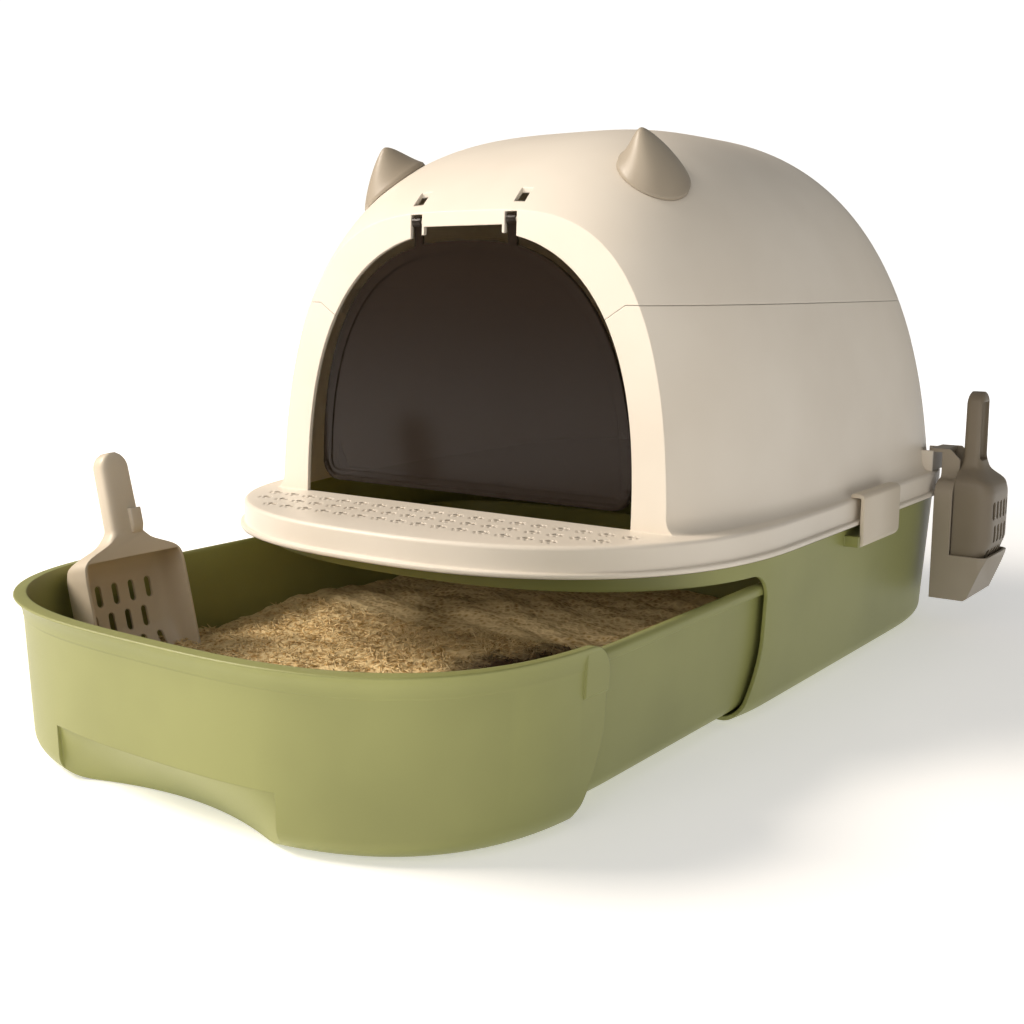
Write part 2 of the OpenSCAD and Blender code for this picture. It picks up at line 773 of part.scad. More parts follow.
// Front of the drawer as a solid, with its lip.
module front_solid() {
    intersection() {
        union() {
            loft(concat(
                [for (a = [0, 30, 60, 90])
                    body_ring(edge_in(foot_r, a), edge_z(skid, foot_r, a), 0, lip_square)],
                [for (t = [0, 0.45, 0.78, 1]) body_ring(0, lip_top - lip_h + t * (lip_h - 2.4),
                    lip_out * pow(t, 2.2), lip_square)],
                [body_ring(0, lip_top - 0.8, lip_out, lip_square),
                body_ring(0.8, lip_top, lip_out, lip_square)]));
        }
        prism_x(mouth_pts(-end_gap, -lip_gap), -far, far);
    }
}

// Inside of the drawer's front, drawn in by d.
module front_hollow(d) {
    r = foot_r - dwall;
    intersection() {
        loft(concat(
            [for (a = [0, 30, 60, 90])
                body_ring(d + edge_in(r, a), edge_z(skid + d, r, a), 0, lip_square)],
            [body_ring(d, lip_top - 2, 0, lip_square),
            body_ring(d, lip_top + 12, 0, lip_square)]));
        prism_x(front_pts(-end_gap - d), -far, far);
    }
}

// Rings of the tub's inside, drawn in by d, up to height z.
function tub_inside(d, z) = concat(
    [for (a = [0, 30, 60, 90]) tub_ring(roll_w + dwall + d + edge_in(tub_r - dwall, a),
        edge_z(tub_floor + d, tub_r - dwall, a))],
    [tub_ring(roll_w + dwall + d, z)]);

module drawer() {
    color("#9A9C5E")
    translate([0, -pull, 0])
    difference() {
        union() {
            difference() {
                union() {
                    loft(concat(
                        [for (a = [0, 30, 60, 90]) tub_ring(roll_w + edge_in(tub_r, a),
                            edge_z(tub_z, tub_r, a))],
                        [tub_ring(roll_w, side_top - roll_h), tub_ring(0, side_top - roll_h + 2),
                        tub_ring(0, side_top - 2), tub_ring(1.6, side_top)]));
                    front_solid();
                }
                loft(concat(tub_inside(0, side_top - 3),
                    [tub_ring(roll_w + dwall + 1, side_top + 1)]));
                front_hollow(dwall);
            }
            intersection() {
                loft([grip_low(dwall), grip_top(dwall)]);
                front_solid();
            }
        }
        loft([grip_low(0), grip_top(0)]);
    }
}

// Height of the litter's surface: two swells that cross, under the crest level.
function litter_top(x, y) = litter_z - litter_dip / 4 * (2
    - sin(360 * (0.8 * x + 0.6 * y) / litter_pitch)
    - sin(360 * (0.5 * x - 0.86 * y) / litter_pitch + 70));

// Block under the litter's surface, over the drawer's whole plan.
module litter_block() {
    nx = 16;
    ny = 22;
    dx = 2 * shell_hw / nx;
    dy = (shell_back + band_front) / ny;
    loft([for (j = [0:ny]) let(y = j * dy - band_front) concat(
        [for (i = [0:nx]) let(x = i * dx - shell_hw) [x, y, litter_top(x, y)]],
        [[shell_hw, y, 0], [-shell_hw, y, 0]])]);
}

module litter_bed() {
    color("#D9B778")
    translate([0, -pull, 0])
    difference() {
        intersection() {
            union() {
                loft(tub_inside(litter_gap, litter_z + 1));
                intersection() {
                    front_hollow(dwall + litter_gap);
                    translate([-far / 2, -far / 2, 0]) cube([far, far, litter_z + 1]);
                }
            }
            litter_block();
        }
        loft([grip_low(dwall + litter_gap), grip_top(dwall + litter_gap)]);
        scoop_pose() translate([-bowl_w / 2 - 1.5, -1, -4])
            cube([bowl_w + 3, bowl_d + 3, 60]);
    }
}

// Right-hand clip: barrel on its bar, plate and lip over the platform.
module side_clip() {
    inner = clip_x + clip_r - clip_t;
    lip_z = deck_z + clip_gap;
    lip_x = hood_hw + fillet_w + clip_foot;
    r = 6;
    intersection() {
        translate([0, clip_y + clip_l / 2, 0]) rotate([90, 0, 0]) linear_extrude(clip_l)
        difference() {
            union() {
                translate([clip_x, clip_bar_z]) circle(r = clip_r);
                translate([inner, clip_bar_z]) square([clip_t, lip_z + clip_t - clip_bar_z - 2]);
                translate([inner - 1, lip_z + clip_t - 3]) circle(r = 3);
                translate([lip_x, lip_z]) square([inner - 1 - lip_x, clip_t]);
                translate([inner - 1, lip_z + clip_t - 4]) square([clip_t - 0.4, 2]);
            }
            translate([clip_x, clip_bar_z]) circle(r = clip_bar_d / 2 + clip_fit);
            translate([clip_x - clip_r - 1, clip_bar_z + 0.6])
                square([clip_r + 1 - 0.6, clip_r + 1]);
        }
        translate([clip_x - 20, 0, 0]) rotate([90, 0, 90]) linear_extrude(40) union() {
            translate([clip_y - clip_l / 2, clip_bar_z - 20 + r])
                square([clip_l, deck_z + 20 - clip_bar_z]);
            translate([clip_y - clip_l / 2 + r, clip_bar_z - 20]) square([clip_l - 2 * r, 60]);
        }
    }
}

module latch_right() {
    color("#CFC3B0") side_clip();
}

module latch_left() {
    color("#CFC3B0") mirror([1, 0, 0]) side_clip();
}

// Rounded rectangle from (0, -w/2) to (d, w/2).
module rounded(d, w, r) {
    union() {
        translate([r, -w / 2]) square([d - 2 * r, w]);
        translate([0, -w / 2 + r]) square([d, w - 2 * r]);
        for (x = [r, d - r]) for (y = [-w / 2 + r, w / 2 - r]) translate([x, y]) circle(r = r);
    }
}

// Cup of the holder, drawn in by d. Its front follows the slanted back of the scoop.
module cup(d) {
    edge = d > 0 ? 0.2 : cup_edge;
    slope = (bowl_d - bowl_lip) / (bowl_bend * bowl_l);
    x0 = flange_d + scoop_gap + bowl_lip + cup_gap + (caddy_t - d) * sqrt(1 + slope * slope);
    z0 = caddy_z + d;
    z1 = caddy_z + cup_h + (d > 0 ? 1 : 0);
    x1 = x0 + slope * (z1 - caddy_z);
    intersection() {
        prism_y([[d, z1], [d, z0], [x0 + slope * d - edge, z0],
            [x0 + slope * (d + edge), z0 + edge], [x1, z1]], -caddy_w / 2 + d, caddy_w / 2 - d);
        translate([d, 0, z0 - 1]) linear_extrude(z1 - z0 + 2)
            rounded(x1 - d, caddy_w - 2 * d, cup_r - d);
    }
}

// Outline of the wall round the hanging scoop in Y and Z, drawn in by d.
function wrap_pts(d) = let(w = caddy_w / 2 - d, n = hook_w / 2 - d, z = flange_z - d,
    top = hook_z + (d > 0 ? 1 : 0)) [[-w, caddy_z + cup_r], [w, caddy_z + cup_r],
    [w, z - 10], [w - 3, z - 3], [w - 10, z], [n, z], [n, top], [-n, top], [-n, z],
    [-w + 10, z], [-w + 3, z - 3], [-w, z - 10]];

module scoop_caddy() {
    color("#B5A692")
    translate([caddy_x, caddy_y, 0])
    difference() {
        union() {
            difference() {
                prism_x(wrap_pts(0), 0, flange_d);
                prism_x(wrap_pts(caddy_t), caddy_t, flange_d + 1);
                translate([flange_d, 0, hook_z]) rotate([0, 45, 0])
                    cube([12, 2 * caddy_w, 12], center = true);
            }
            cup(0);
            translate([-caddy_gap - hook_in, -hook_w / 2, hook_z - hook_t])
                cube([caddy_gap + hook_in + caddy_t + 1, hook_w, hook_t]);
            translate([-caddy_gap - hook_in, -hook_w / 2, deck_z + hook_gap])
                cube([hook_t, hook_w, hook_z - deck_z - hook_gap]);
        }
        cup(caddy_t);
    }
}

// Ring of a scoop: half-width w, centre y, half-depth d, squareness n.
function scoop_ring(w, y, d, n, z) = [for (i = [0:31]) let(a = 11.25 * i)
    [w * se(cos(a), n), y + d * se(sin(a), n), z]];

// Scoop that stands on its lip: Y runs from the open side of the bowl to its slotted face.
module scoop(w) {
    half = w / 2;
    grip = grip_t / 2;
    neck = bowl_l + neck_l;
    pitch = (w - 14) / 5;
    difference() {
        loft([scoop_ring(half, 0, bowl_lip, 6, 0),
            scoop_ring(half, 0, bowl_d, 6, bowl_l * bowl_bend),
            scoop_ring(half, 0, bowl_d, 6, bowl_l * 0.86),
            scoop_ring(half * 0.985, 0, bowl_d - 1.4, 6, bowl_l * 0.94),
            scoop_ring(half * 0.93, 0, bowl_d - 5, 5, bowl_l),
            scoop_ring(half * 0.78, 2, bowl_d - 11, 4, bowl_l + neck_l * 0.22),
            scoop_ring(half * 0.52, grip, grip + 3, 4, bowl_l + neck_l * 0.42),
            scoop_ring(grip_w / 2, grip, grip, 4, neck),
            scoop_ring(grip_w / 2, grip, grip, 4, neck + grip_len - 6),
            scoop_ring(grip_w / 2 - 1.6, grip, grip - 1.4, 4, neck + grip_len - 1.6),
            scoop_ring(grip_w / 2 - 6, grip, grip - 4, 4, neck + grip_len)]);
        loft([scoop_ring(half - bowl_t, 0, bowl_lip - bowl_t - 0.4, 6, -1),
            scoop_ring(half - bowl_t, 0, bowl_d - bowl_t, 6, bowl_l * bowl_bend),
            scoop_ring(half - bowl_t, 0, bowl_d - bowl_t, 6, bowl_l * 0.84),
            scoop_ring(half * 0.985 - bowl_t, 0, bowl_d - 1.4 - bowl_t, 6, bowl_l * 0.92),
            scoop_ring(half * 0.93 - bowl_t, 0, bowl_d - 5 - bowl_t, 5, bowl_l - bowl_t)]);
        translate([-half - 1, -bowl_d - 10, -1]) cube([w + 2, bowl_d + 10, bowl_l + neck_l]);
        translate([-grip_w / 2 + grip_wall, grip + grip_wall - 1, neck - 2])
            cube([grip_w - 2 * grip_wall, grip_t, grip_len - 4]);
        for (r = [0:3]) {
            n = r % 2 == 0 ? 4 : 5;
            for (i = [0:n - 1])
                translate([(i - (n - 1) / 2) * pitch, 2, 14 + sift_row * r])
                    rotate([-90, 0, 0]) linear_extrude(40) union() {
                        translate([-sift_w / 2, -sift_l + sift_w]) square([sift_w, sift_l - sift_w]);
                        translate([0, -sift_l + sift_w]) circle(d = sift_w, $fn = 14);
                        circle(d = sift_w, $fn = 14);
                    }
        }
    }
}

module hanging_scoop() {
    color("#7E7260")
    translate([caddy_x + flange_d + scoop_gap, caddy_y, caddy_z + caddy_t + scoop_gap])
        rotate([0, 0, -90]) scoop(hang_w);
}

// Frame of the scoop that stands in the drawer, with the drawer closed.
module scoop_pose() {
    translate([-scoop_x, scoop_y, tub_floor + scoop_gap + bowl_lip * sin(scoop_lean)])
        rotate([0, -scoop_lean, 0])
        rotate([0, 0, 90]) children();
}

module drawer_scoop() {
    color("#CFC2AC") translate([0, -pull, 0]) scoop_pose() scoop(bowl_w);
}

housing();
foot_pad_front_left();
foot_pad_front_right();
foot_pad_rear_left();
foot_pad_rear_right();
drawer();
litter_bed();
lid_base();
upper_hood();
door_flap();
horn_left();
horn_right();
latch_left();
latch_right();
scoop_caddy();
hanging_scoop();
drawer_scoop();
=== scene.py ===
"""Dressed scene of a hooded litter box with a pull-out drawer.

Lengths in the classes are millimetres in the part's own frame: X to the right of the box,
-Y out of the door, Z up, origin on the floor. Every finished mesh is in metres.
"""

import logging
import math
from dataclasses import dataclass
from enum import Enum
from typing import Sequence

import bmesh
import bpy
import numpy as np
from mathutils import Matrix, Vector

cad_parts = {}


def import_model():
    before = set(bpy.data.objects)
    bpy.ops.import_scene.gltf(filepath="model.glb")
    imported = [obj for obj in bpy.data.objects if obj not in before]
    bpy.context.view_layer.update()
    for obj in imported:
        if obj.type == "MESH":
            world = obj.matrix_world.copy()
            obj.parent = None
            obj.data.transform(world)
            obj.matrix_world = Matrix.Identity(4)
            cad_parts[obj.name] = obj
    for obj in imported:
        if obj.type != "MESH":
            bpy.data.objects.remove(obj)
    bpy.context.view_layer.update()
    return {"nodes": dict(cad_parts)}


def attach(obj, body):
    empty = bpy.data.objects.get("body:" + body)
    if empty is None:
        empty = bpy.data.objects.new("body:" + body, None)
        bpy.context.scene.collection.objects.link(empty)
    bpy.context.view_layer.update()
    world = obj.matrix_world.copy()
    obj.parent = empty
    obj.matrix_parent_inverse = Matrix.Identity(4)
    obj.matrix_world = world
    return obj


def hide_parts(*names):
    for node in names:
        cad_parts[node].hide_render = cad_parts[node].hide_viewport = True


LOG = logging.getLogger("litter_box")
# One millimetre in metres, and a reach past every piece for cutting shapes, in millimetres.
MM = 0.001
FAR = 700.0
# Steps in a quarter of a plan outline.
RING = 40
# Places that several pieces share: step, parting of the hood and its drop over the door, clip
# bar, hinge pins of the door, and scoop holder.
DECK_Z = 137.6
PART_Z = 280.4
BAR_X = 214.0
BAR_Z = 106.0
CLIP_Y = 58.0
STEP_OUT = 133.0
STEP_IN = 117.0
STEP_H = 10.0
HINGE_X = 41.0
HINGE_Y = -173.7526
HINGE_Z = 337.0
HOLDER_Y = 218.0
# Material slots of the record for the small pieces.
SLOTS = {"scoop_caddy": "taupe_trim", "hanging_scoop": "taupe_trim", "drawer_scoop": "pale_trim",
         "latch_left": "pale_trim", "latch_right": "pale_trim"}


class Op(Enum):
    """How a cutting shape acts on a body."""

    CUT = "DIFFERENCE"
    KEEP = "INTERSECT"
    ADD = "UNION"


# --------------------------------------------------------------------------- shapes


def signed_power(c: np.ndarray, n: float) -> np.ndarray:
    """Raises a cosine or sine to the power 2/n and keeps its sign.

    Args:
        c: Cosines or sines.
        n: Squareness; 2 gives an ellipse and larger values a squarer corner.

    Returns:
        The signed powers.
    """
    return np.sign(c) * np.abs(c) ** (2.0 / n)


def quarter_steps(count: int) -> np.ndarray:
    """Angles over a quarter turn, closer together at both ends.

    The share t runs 0..1 and the angle is 90 degrees times t^1.5 / (t^1.5 + (1-t)^1.5).

    Args:
        count: Number of steps in the quarter.

    Returns:
        count + 1 angles in radians.
    """
    t = np.linspace(0.0, 1.0, count + 1)
    a, b = t**1.5, (1.0 - t) ** 1.5
    return 0.5 * math.pi * a / (a + b)


def plan(hw, front, back, cf: float, cb: float, nf: float, nb: float, z) -> np.ndarray:
    """Rounded plan outlines at several heights.

    x = hw * se(cos a, n) and y = c + reach * se(sin a, n), where the rear half uses the
    rear centre, reach and squareness and the front half the front ones.

    Args:
        hw: Half-widths, one for each height.
        front: Y of the front, one for each height.
        back: Y of the rear, one for each height.
        cf: Y where the rounded front begins.
        cb: Y where the rounded rear begins.
        nf: Squareness of the front.
        nb: Squareness of the rear.
        z: Heights.

    Returns:
        Rings of points, shape (heights, points, 3).
    """
    z = np.atleast_1d(np.asarray(z, float))[:, None]
    hw, front, back = (np.broadcast_to(np.asarray(v, float).reshape(-1, 1), z.shape)
                       for v in (hw, front, back))
    q = quarter_steps(RING)
    half = np.concatenate([q, math.pi - q[-2::-1]])[None, :]
    c, s = np.cos(half), np.sin(half)
    x = np.concatenate([hw * signed_power(c, nb), -hw * signed_power(c, nf)], axis=1)
    y = np.concatenate([cb + (back - cb) * signed_power(s, nb),
                        cf - (cf - front) * signed_power(s, nf)], axis=1)
    return np.stack([x, y, np.broadcast_to(z, x.shape)], axis=2)


def corner(radius: float, start: float, end: float,
           count: int = 6) -> tuple[np.ndarray, np.ndarray]:
    """Inset and rise along a rounded edge.

    inset = r (1 - sin a) and rise = r (1 - cos a), with a from start to end.

    Args:
        radius: Radius of the edge.
        start: First angle in degrees; 0 is on the floor, 90 on the wall.
        end: Last angle in degrees.
        count: Number of steps.

    Returns:
        Insets and rises.
    """
    a = np.radians(np.linspace(start, end, count + 1))
    return radius * (1 - np.sin(a)), radius * (1 - np.cos(a))


def make_mesh(name: str, points: np.ndarray, faces: Sequence[Sequence[int]]) -> bpy.types.Object:
    """Puts points and faces into a new object at the origin.

    Args:
        name: Name of the piece.
        points: Points in millimetres, shape (n, 3).
        faces: Corner numbers of each face, anticlockwise from outside.

    Returns:
        The object, linked to the scene.
    """
    mesh = bpy.data.meshes.new(name)
    mesh.from_pydata((np.asarray(points, float) * MM).tolist(), [], [list(f) for f in faces])
    mesh.validate()
    obj = bpy.data.objects.new(name, mesh)
    bpy.context.scene.collection.objects.link(obj)
    return obj


def loft(name: str, rings: np.ndarray) -> bpy.types.Object:
    """Closed solid through rings of equal length, with a flat cap at both ends.

    Args:
        name: Name of the piece.
        rings: Points, shape (rings, points, 3), anticlockwise seen from above when rising.

    Returns:
        The object.
    """
    m, n = rings.shape[:2]
    base = np.arange(m - 1)[:, None] * n
    i = np.arange(n)[None, :]
    j = (i + 1) % n
    quads = np.stack([base + i, base + j, base + n + j, base + n + i], axis=2).reshape(-1, 4)
    faces = quads.tolist()
    faces.append(list(range(n))[::-1])
    faces.append(list(range((m - 1) * n, m * n)))
    return make_mesh(name, rings.reshape(-1, 3), faces)


def prism(name: str, profile: np.ndarray, axis: str, lo: float, hi: float) -> bpy.types.Object:
    """Profile carried straight along an axis.

    Args:
        name: Name of the piece.
        profile: Points (Y, Z) for axis x, (X, Z) for axis y, (X, Y) for axis z.
        axis: The axis that the profile is carried along.
        lo: Start of the prism.
        hi: End of the prism.

    Returns:
        The object, with faces outwards.
    """
    p = np.asarray(profile, float)
    area = np.sum(p[:, 0] * np.roll(p[:, 1], -1) - np.roll(p[:, 0], -1) * p[:, 1])
    if (area < 0) != (axis == "y"):
        p = p[::-1]
    order = {"x": lambda t: (t, p[:, 0], p[:, 1]), "y": lambda t: (p[:, 0], t, p[:, 1]),
             "z": lambda t: (p[:, 0], p[:, 1], t)}[axis]
    rings = np.stack([np.stack(order(np.full(len(p), v)), axis=1) for v in (lo, hi)])
    return loft(name, rings)


def box(name: str, lo: Sequence[float], hi: Sequence[float]) -> bpy.types.Object:
    """Plain cutting block between two corners, in millimetres."""
    (x0, y0, z0), (x1, y1, z1) = lo, hi
    return prism(name, np.array([[x0, y0], [x1, y0], [x1, y1], [x0, y1]]), "z", z0, z1)


def rods(name: str, centres: np.ndarray, radii: np.ndarray, axis: Sequence[float], lo: float,
         hi: float, sides: int = 20) -> bpy.types.Object:
    """Many parallel round rods in one mesh.

    Args:
        name: Name of the piece.
        centres: Points on the rods' axes, shape (n, 3).
        radii: One radius for each rod.
        axis: Common direction.
        lo: Start along the axis, from each centre.
        hi: End along the axis.
        sides: Sides of a rod.

    Returns:
        The object.
    """
    w = np.asarray(axis, float) / np.linalg.norm(axis)
    u = np.cross(w, [0.0, 1.0, 0.0] if abs(w[1]) < 0.9 else [1.0, 0.0, 0.0])
    u /= np.linalg.norm(u)
    v = np.cross(w, u)
    a = np.linspace(0, 2 * math.pi, sides, endpoint=False)
    ring = np.cos(a)[:, None] * u + np.sin(a)[:, None] * v
    c = np.asarray(centres, float)[:, None, None, :]
    r = np.asarray(radii, float)[:, None, None, None]
    ends = np.array([lo, hi])[None, :, None, None] * w
    points = (c + r * ring[None, None] + ends).reshape(-1, 3)
    k = np.arange(sides)
    side = np.stack([k, (k + 1) % sides, sides + (k + 1) % sides, sides + k], axis=1)
    faces: list[list[int]] = []
    for i in range(len(centres)):
        o = i * 2 * sides
        faces += (side + o).tolist()
        faces.append((o + k[::-1]).tolist())
        faces.append((o + sides + k).tolist())
    return make_mesh(name, points, faces)


def combine(body: bpy.types.Object, tool: bpy.types.Object, op: Op) -> bpy.types.Object:
    """Cuts, keeps or adds a closed shape and removes the tool.

    Args:
        body: The piece that changes.
        tool: The closed shape that acts on it.
        op: What the tool does.

    Returns:
        The body, with its new mesh.
    """
    mod = body.modifiers.new("combine", "BOOLEAN")
    mod.operation = op.value
    mod.solver = "MANIFOLD"
    mod.object = tool
    apply_modifiers(body)
    drop(tool)
    return body


def apply_modifiers(obj: bpy.types.Object) -> bpy.types.Object:
    """Puts the modifiers' result into the mesh and removes them."""
    graph = bpy.context.evaluated_depsgraph_get()
    mesh = bpy.data.meshes.new_from_object(obj.evaluated_get(graph))
    old = obj.data
    obj.modifiers.clear()
    obj.data = mesh
    bpy.data.meshes.remove(old)
    return obj


def drop(obj: bpy.types.Object) -> None:
    """Removes an object and its mesh."""
    mesh = obj.data
    bpy.data.objects.remove(obj)
    if mesh is not None and mesh.users == 0:
        bpy.data.meshes.remove(mesh)


def soften(obj: bpy.types.Object, degrees: float = 30.0) -> bpy.types.Object:
    """Shades a piece smoothly and keeps edges over the angle sharp."""
    mesh = obj.data
    mesh.polygons.foreach_set("use_smooth", np.ones(len(mesh.polygons), bool))
    mesh.set_sharp_from_angle(angle=math.radians(degrees))
    mesh.update()
    return obj


def placed(obj: bpy.types.Object, matrix: Matrix) -> bpy.types.Object:
    """Moves a mesh's points by a matrix in millimetres and leaves the object at the origin."""
    m = matrix.copy()
    m.translation = m.translation * MM
    obj.data.transform(m)
    if m.determinant() < 0:
        obj.data.flip_normals()
    obj.data.update()
    return obj


# ------------------------------------------------------------------------- finishes


def linear(code: str) -> tuple[float, float, float, float]:
    """Turns an sRGB hex colour into linear red, green, blue and alpha.

    Args:
        code: Six hex digits after a hash.

    Returns:
        Linear colour with alpha 1.
    """
    v = [int(code[i:i + 2], 16) / 255 for i in (1, 3, 5)]
    r, g, b = [c / 12.92 if c <= 0.04045 else ((c + 0.055) / 1.055) ** 2.4 for c in v]
    return (r, g, b, 1.0)


def add_node(tree: bpy.types.NodeTree, kind: str, settings: dict | None = None,
             inputs: dict | None = None) -> bpy.types.Node:
    """Adds a node, sets its properties and sets or links its inputs.

    Args:
        tree: The node tree.
        kind: Blender's name of the node.
        settings: Property values by name.
        inputs: Values or output sockets by input name or number.

    Returns:
        The node.
    """
    node = tree.nodes.new(kind)
    for key, value in (settings or {}).items():
        setattr(node, key, value)
    for key, value in (inputs or {}).items():
        if isinstance(value, bpy.types.NodeSocket):
            tree.links.new(value, node.inputs[key])
        else:
            node.inputs[key].default_value = value
    return node


def new_material(name: str) -> tuple[bpy.types.Material, bpy.types.NodeTree,
                                     bpy.types.NodeSocket]:
    """Starts a material with no nodes but the Object coordinates.

    Args:
        name: Name of the material.

    Returns:
        The material, its tree and the coordinates' socket.
    """
    mat = bpy.data.materials.new(name)
    mat.use_nodes = True
    tree = mat.node_tree
    tree.nodes.clear()
    return mat, tree, add_node(tree, "ShaderNodeTexCoord").outputs["Object"]


def tones(tree: bpy.types.NodeTree, value: bpy.types.NodeSocket, low: tuple[float, str],
          high: tuple[float, str]) -> bpy.types.NodeSocket:
    """Colour ramp between two colours.

    Args:
        tree: The node tree.
        value: What drives the ramp.
        low: Place and sRGB hex colour of the lower stop.
        high: Place and sRGB hex colour of the upper stop.

    Returns:
        The ramp's colour.
    """
    ramp = add_node(tree, "ShaderNodeValToRGB", inputs={"Fac": value})
    for stop, (place, code) in zip(ramp.color_ramp.elements, (low, high)):
        stop.position = place
        stop.color = linear(code)
    return ramp.outputs["Color"]


@dataclass(frozen=True)
class MouldedPolypropylene:
    """Injection-moulded polypropylene with a satin, finely eroded surface.

    To the eye: a broad soft sheen, one even colour with faint clouds, and no sharp edge.
    """

    name: str
    light: str
    dark: str
    roughness: float = 0.42
    # Spark-eroded grain is about 0.15 mm; drawn at 1 mm because finer doesn't show.
    grain_mm: float = 1.0
    grain_height: float = 0.012
    # Flow marks and thickness of the wall change the shade over about 120 mm.
    cloud_mm: float = 120.0
    edge_mm: float = 1.2

    def build(self) -> bpy.types.Material:
        """Makes the material."""
        mat, tree, coord = new_material(self.name)
        cloud = add_node(tree, "ShaderNodeTexNoise", inputs={
            "Vector": coord, "Scale": 1 / (self.cloud_mm * MM), "Detail": 3.0, "Roughness": 0.5})
        grain = add_node(tree, "ShaderNodeTexNoise", inputs={
            "Vector": coord, "Scale": 1 / (self.grain_mm * MM), "Detail": 2.0})
        shade = tones(tree, cloud.outputs["Fac"], (0.35, self.dark), (0.65, self.light))
        rough = add_node(tree, "ShaderNodeMapRange", inputs={
            "Value": grain.outputs["Fac"], "To Min": self.roughness - 0.05,
            "To Max": self.roughness + 0.05})
        # Moulded edges are never sharp: about 1.2 mm of rounding in the shading.
        bevel = add_node(tree, "ShaderNodeBevel", {"samples": 6}, inputs={
            "Radius": self.edge_mm * MM})
        bump = add_node(tree, "ShaderNodeBump", inputs={
            "Height": grain.outputs["Fac"], "Strength": 0.35, "Normal": bevel.outputs["Normal"],
            "Distance": self.grain_height * MM * 10})
        shader = add_node(tree, "ShaderNodeBsdfPrincipled", inputs={
            "Base Color": shade, "Roughness": rough.outputs["Result"],
            "Normal": bump.outputs["Normal"], "IOR": 1.49})
        add_node(tree, "ShaderNodeOutputMaterial", inputs={"Surface": shader.outputs["BSDF"]})
        return mat


@dataclass(frozen=True)
class SmokeAcrylic:
    """Clear moulded acrylic with a brown smoke tint, satin on both faces.

    To the eye: a dark sheet with a blurred sheen, through which the cabin only just shows.
    The tint is a thin see-through layer, so that light also passes into the cabin.
    """

    name: str
    tint: str
    cover: float = 0.74
    roughness: float = 0.16
    gloss: float = 0.2

    def build(self) -> bpy.types.Material:
        """Makes the material."""
        mat, tree, coord = new_material(self.name)
        # Handling smears of about 60 mm make the gloss uneven.
        smear = add_node(tree, "ShaderNodeTexNoise", inputs={
            "Vector": coord, "Scale": 1 / 0.06, "Detail": 4.0})
        rough = add_node(tree, "ShaderNodeMapRange", inputs={
            "Value": smear.outputs["Fac"], "To Min": self.roughness,
            "To Max": self.roughness + 0.06})
        shader = add_node(tree, "ShaderNodeBsdfPrincipled", inputs={
            "Base Color": linear(self.tint), "Roughness": rough.outputs["Result"],
            "IOR": 1.49, "Specular IOR Level": self.gloss, "Alpha": self.cover})
        add_node(tree, "ShaderNodeOutputMaterial", inputs={"Surface": shader.outputs["BSDF"]})
        return mat


@dataclass(frozen=True)
class PineLitter:
    """Wood-fibre litter: pale pine shreds, with painted shade in one place.

    To the eye: a dull, speckled straw colour with tan heaps, and painted shade at the right.
    """

    name: str
    pale: str
    tan: str
    painted_shade_colour: str
    # Middle and reach of the painted shade, in millimetres, with the drawer as drawn.
    painted_shade_x: float = 128.0
    painted_shade_y: float = -268.0
    painted_shade_r: float = 84.0

    def build(self) -> bpy.types.Material:
        """Makes the material."""
        mat, tree, coord = new_material(self.name)
        # Shreds are 2 to 4 mm wide, and heaps of one tone are about 40 mm across.
        chips = add_node(tree, "ShaderNodeTexVoronoi", inputs={
            "Vector": coord, "Scale": 1 / 0.0045})
        heaps = add_node(tree, "ShaderNodeTexNoise", inputs={
            "Vector": coord, "Scale": 1 / 0.04, "Detail": 5.0, "Roughness": 0.65})
        tone = add_node(tree, "ShaderNodeMath", {"operation": "ADD"}, inputs={
            0: heaps.outputs["Fac"], 1: chips.outputs["Distance"]})
        ramp = tones(tree, tone.outputs[0], (0.55, self.tan), (1.05, self.pale))
        # Painted shade: a ragged oval where the platform's edge shades the litter, mixed towards
        # the dark colour.
        place = add_node(tree, "ShaderNodeMapping", inputs={
            "Vector": coord, "Location": (-self.painted_shade_x * MM, -self.painted_shade_y * MM, 0.0)})
        flat = add_node(tree, "ShaderNodeVectorMath", {"operation": "MULTIPLY"}, inputs={
            0: place.outputs["Vector"], 1: (1.0, 0.55, 0.0)})
        far = add_node(tree, "ShaderNodeVectorMath", {"operation": "LENGTH"}, inputs={
            0: flat.outputs["Vector"]})
        ragged = add_node(tree, "ShaderNodeMath", {"operation": "MULTIPLY_ADD"}, inputs={
            0: heaps.outputs["Fac"], 1: -0.08, 2: far.outputs["Value"]})
        painted_shade_mask = add_node(tree, "ShaderNodeMapRange", inputs={
            "Value": ragged.outputs[0], "From Min": (self.painted_shade_r - 52.0) * MM,
            "From Max": (self.painted_shade_r - 24.0) * MM, "To Min": 1.0, "To Max": 0.0})
        colour = add_node(tree, "ShaderNodeMix", {"data_type": "RGBA"}, inputs={
            0: painted_shade_mask.outputs["Result"], 6: ramp, 7: linear(self.painted_shade_colour)})
        bump = add_node(tree, "ShaderNodeBump", inputs={
            "Height": chips.outputs["Distance"], "Strength": 0.8, "Distance": 1.2 * MM})
        shader = add_node(tree, "ShaderNodeBsdfPrincipled", inputs={
            "Base Color": colour.outputs[2], "Roughness": 0.85,
            "Normal": bump.outputs["Normal"]})
        add_node(tree, "ShaderNodeOutputMaterial", inputs={"Surface": shader.outputs["BSDF"]})
        return mat


def dress(obj: bpy.types.Object, mat: bpy.types.Material) -> bpy.types.Object:
    """Gives a piece one material on all its faces."""
    obj.data.materials.clear()
    obj.data.materials.append(mat)
    return obj


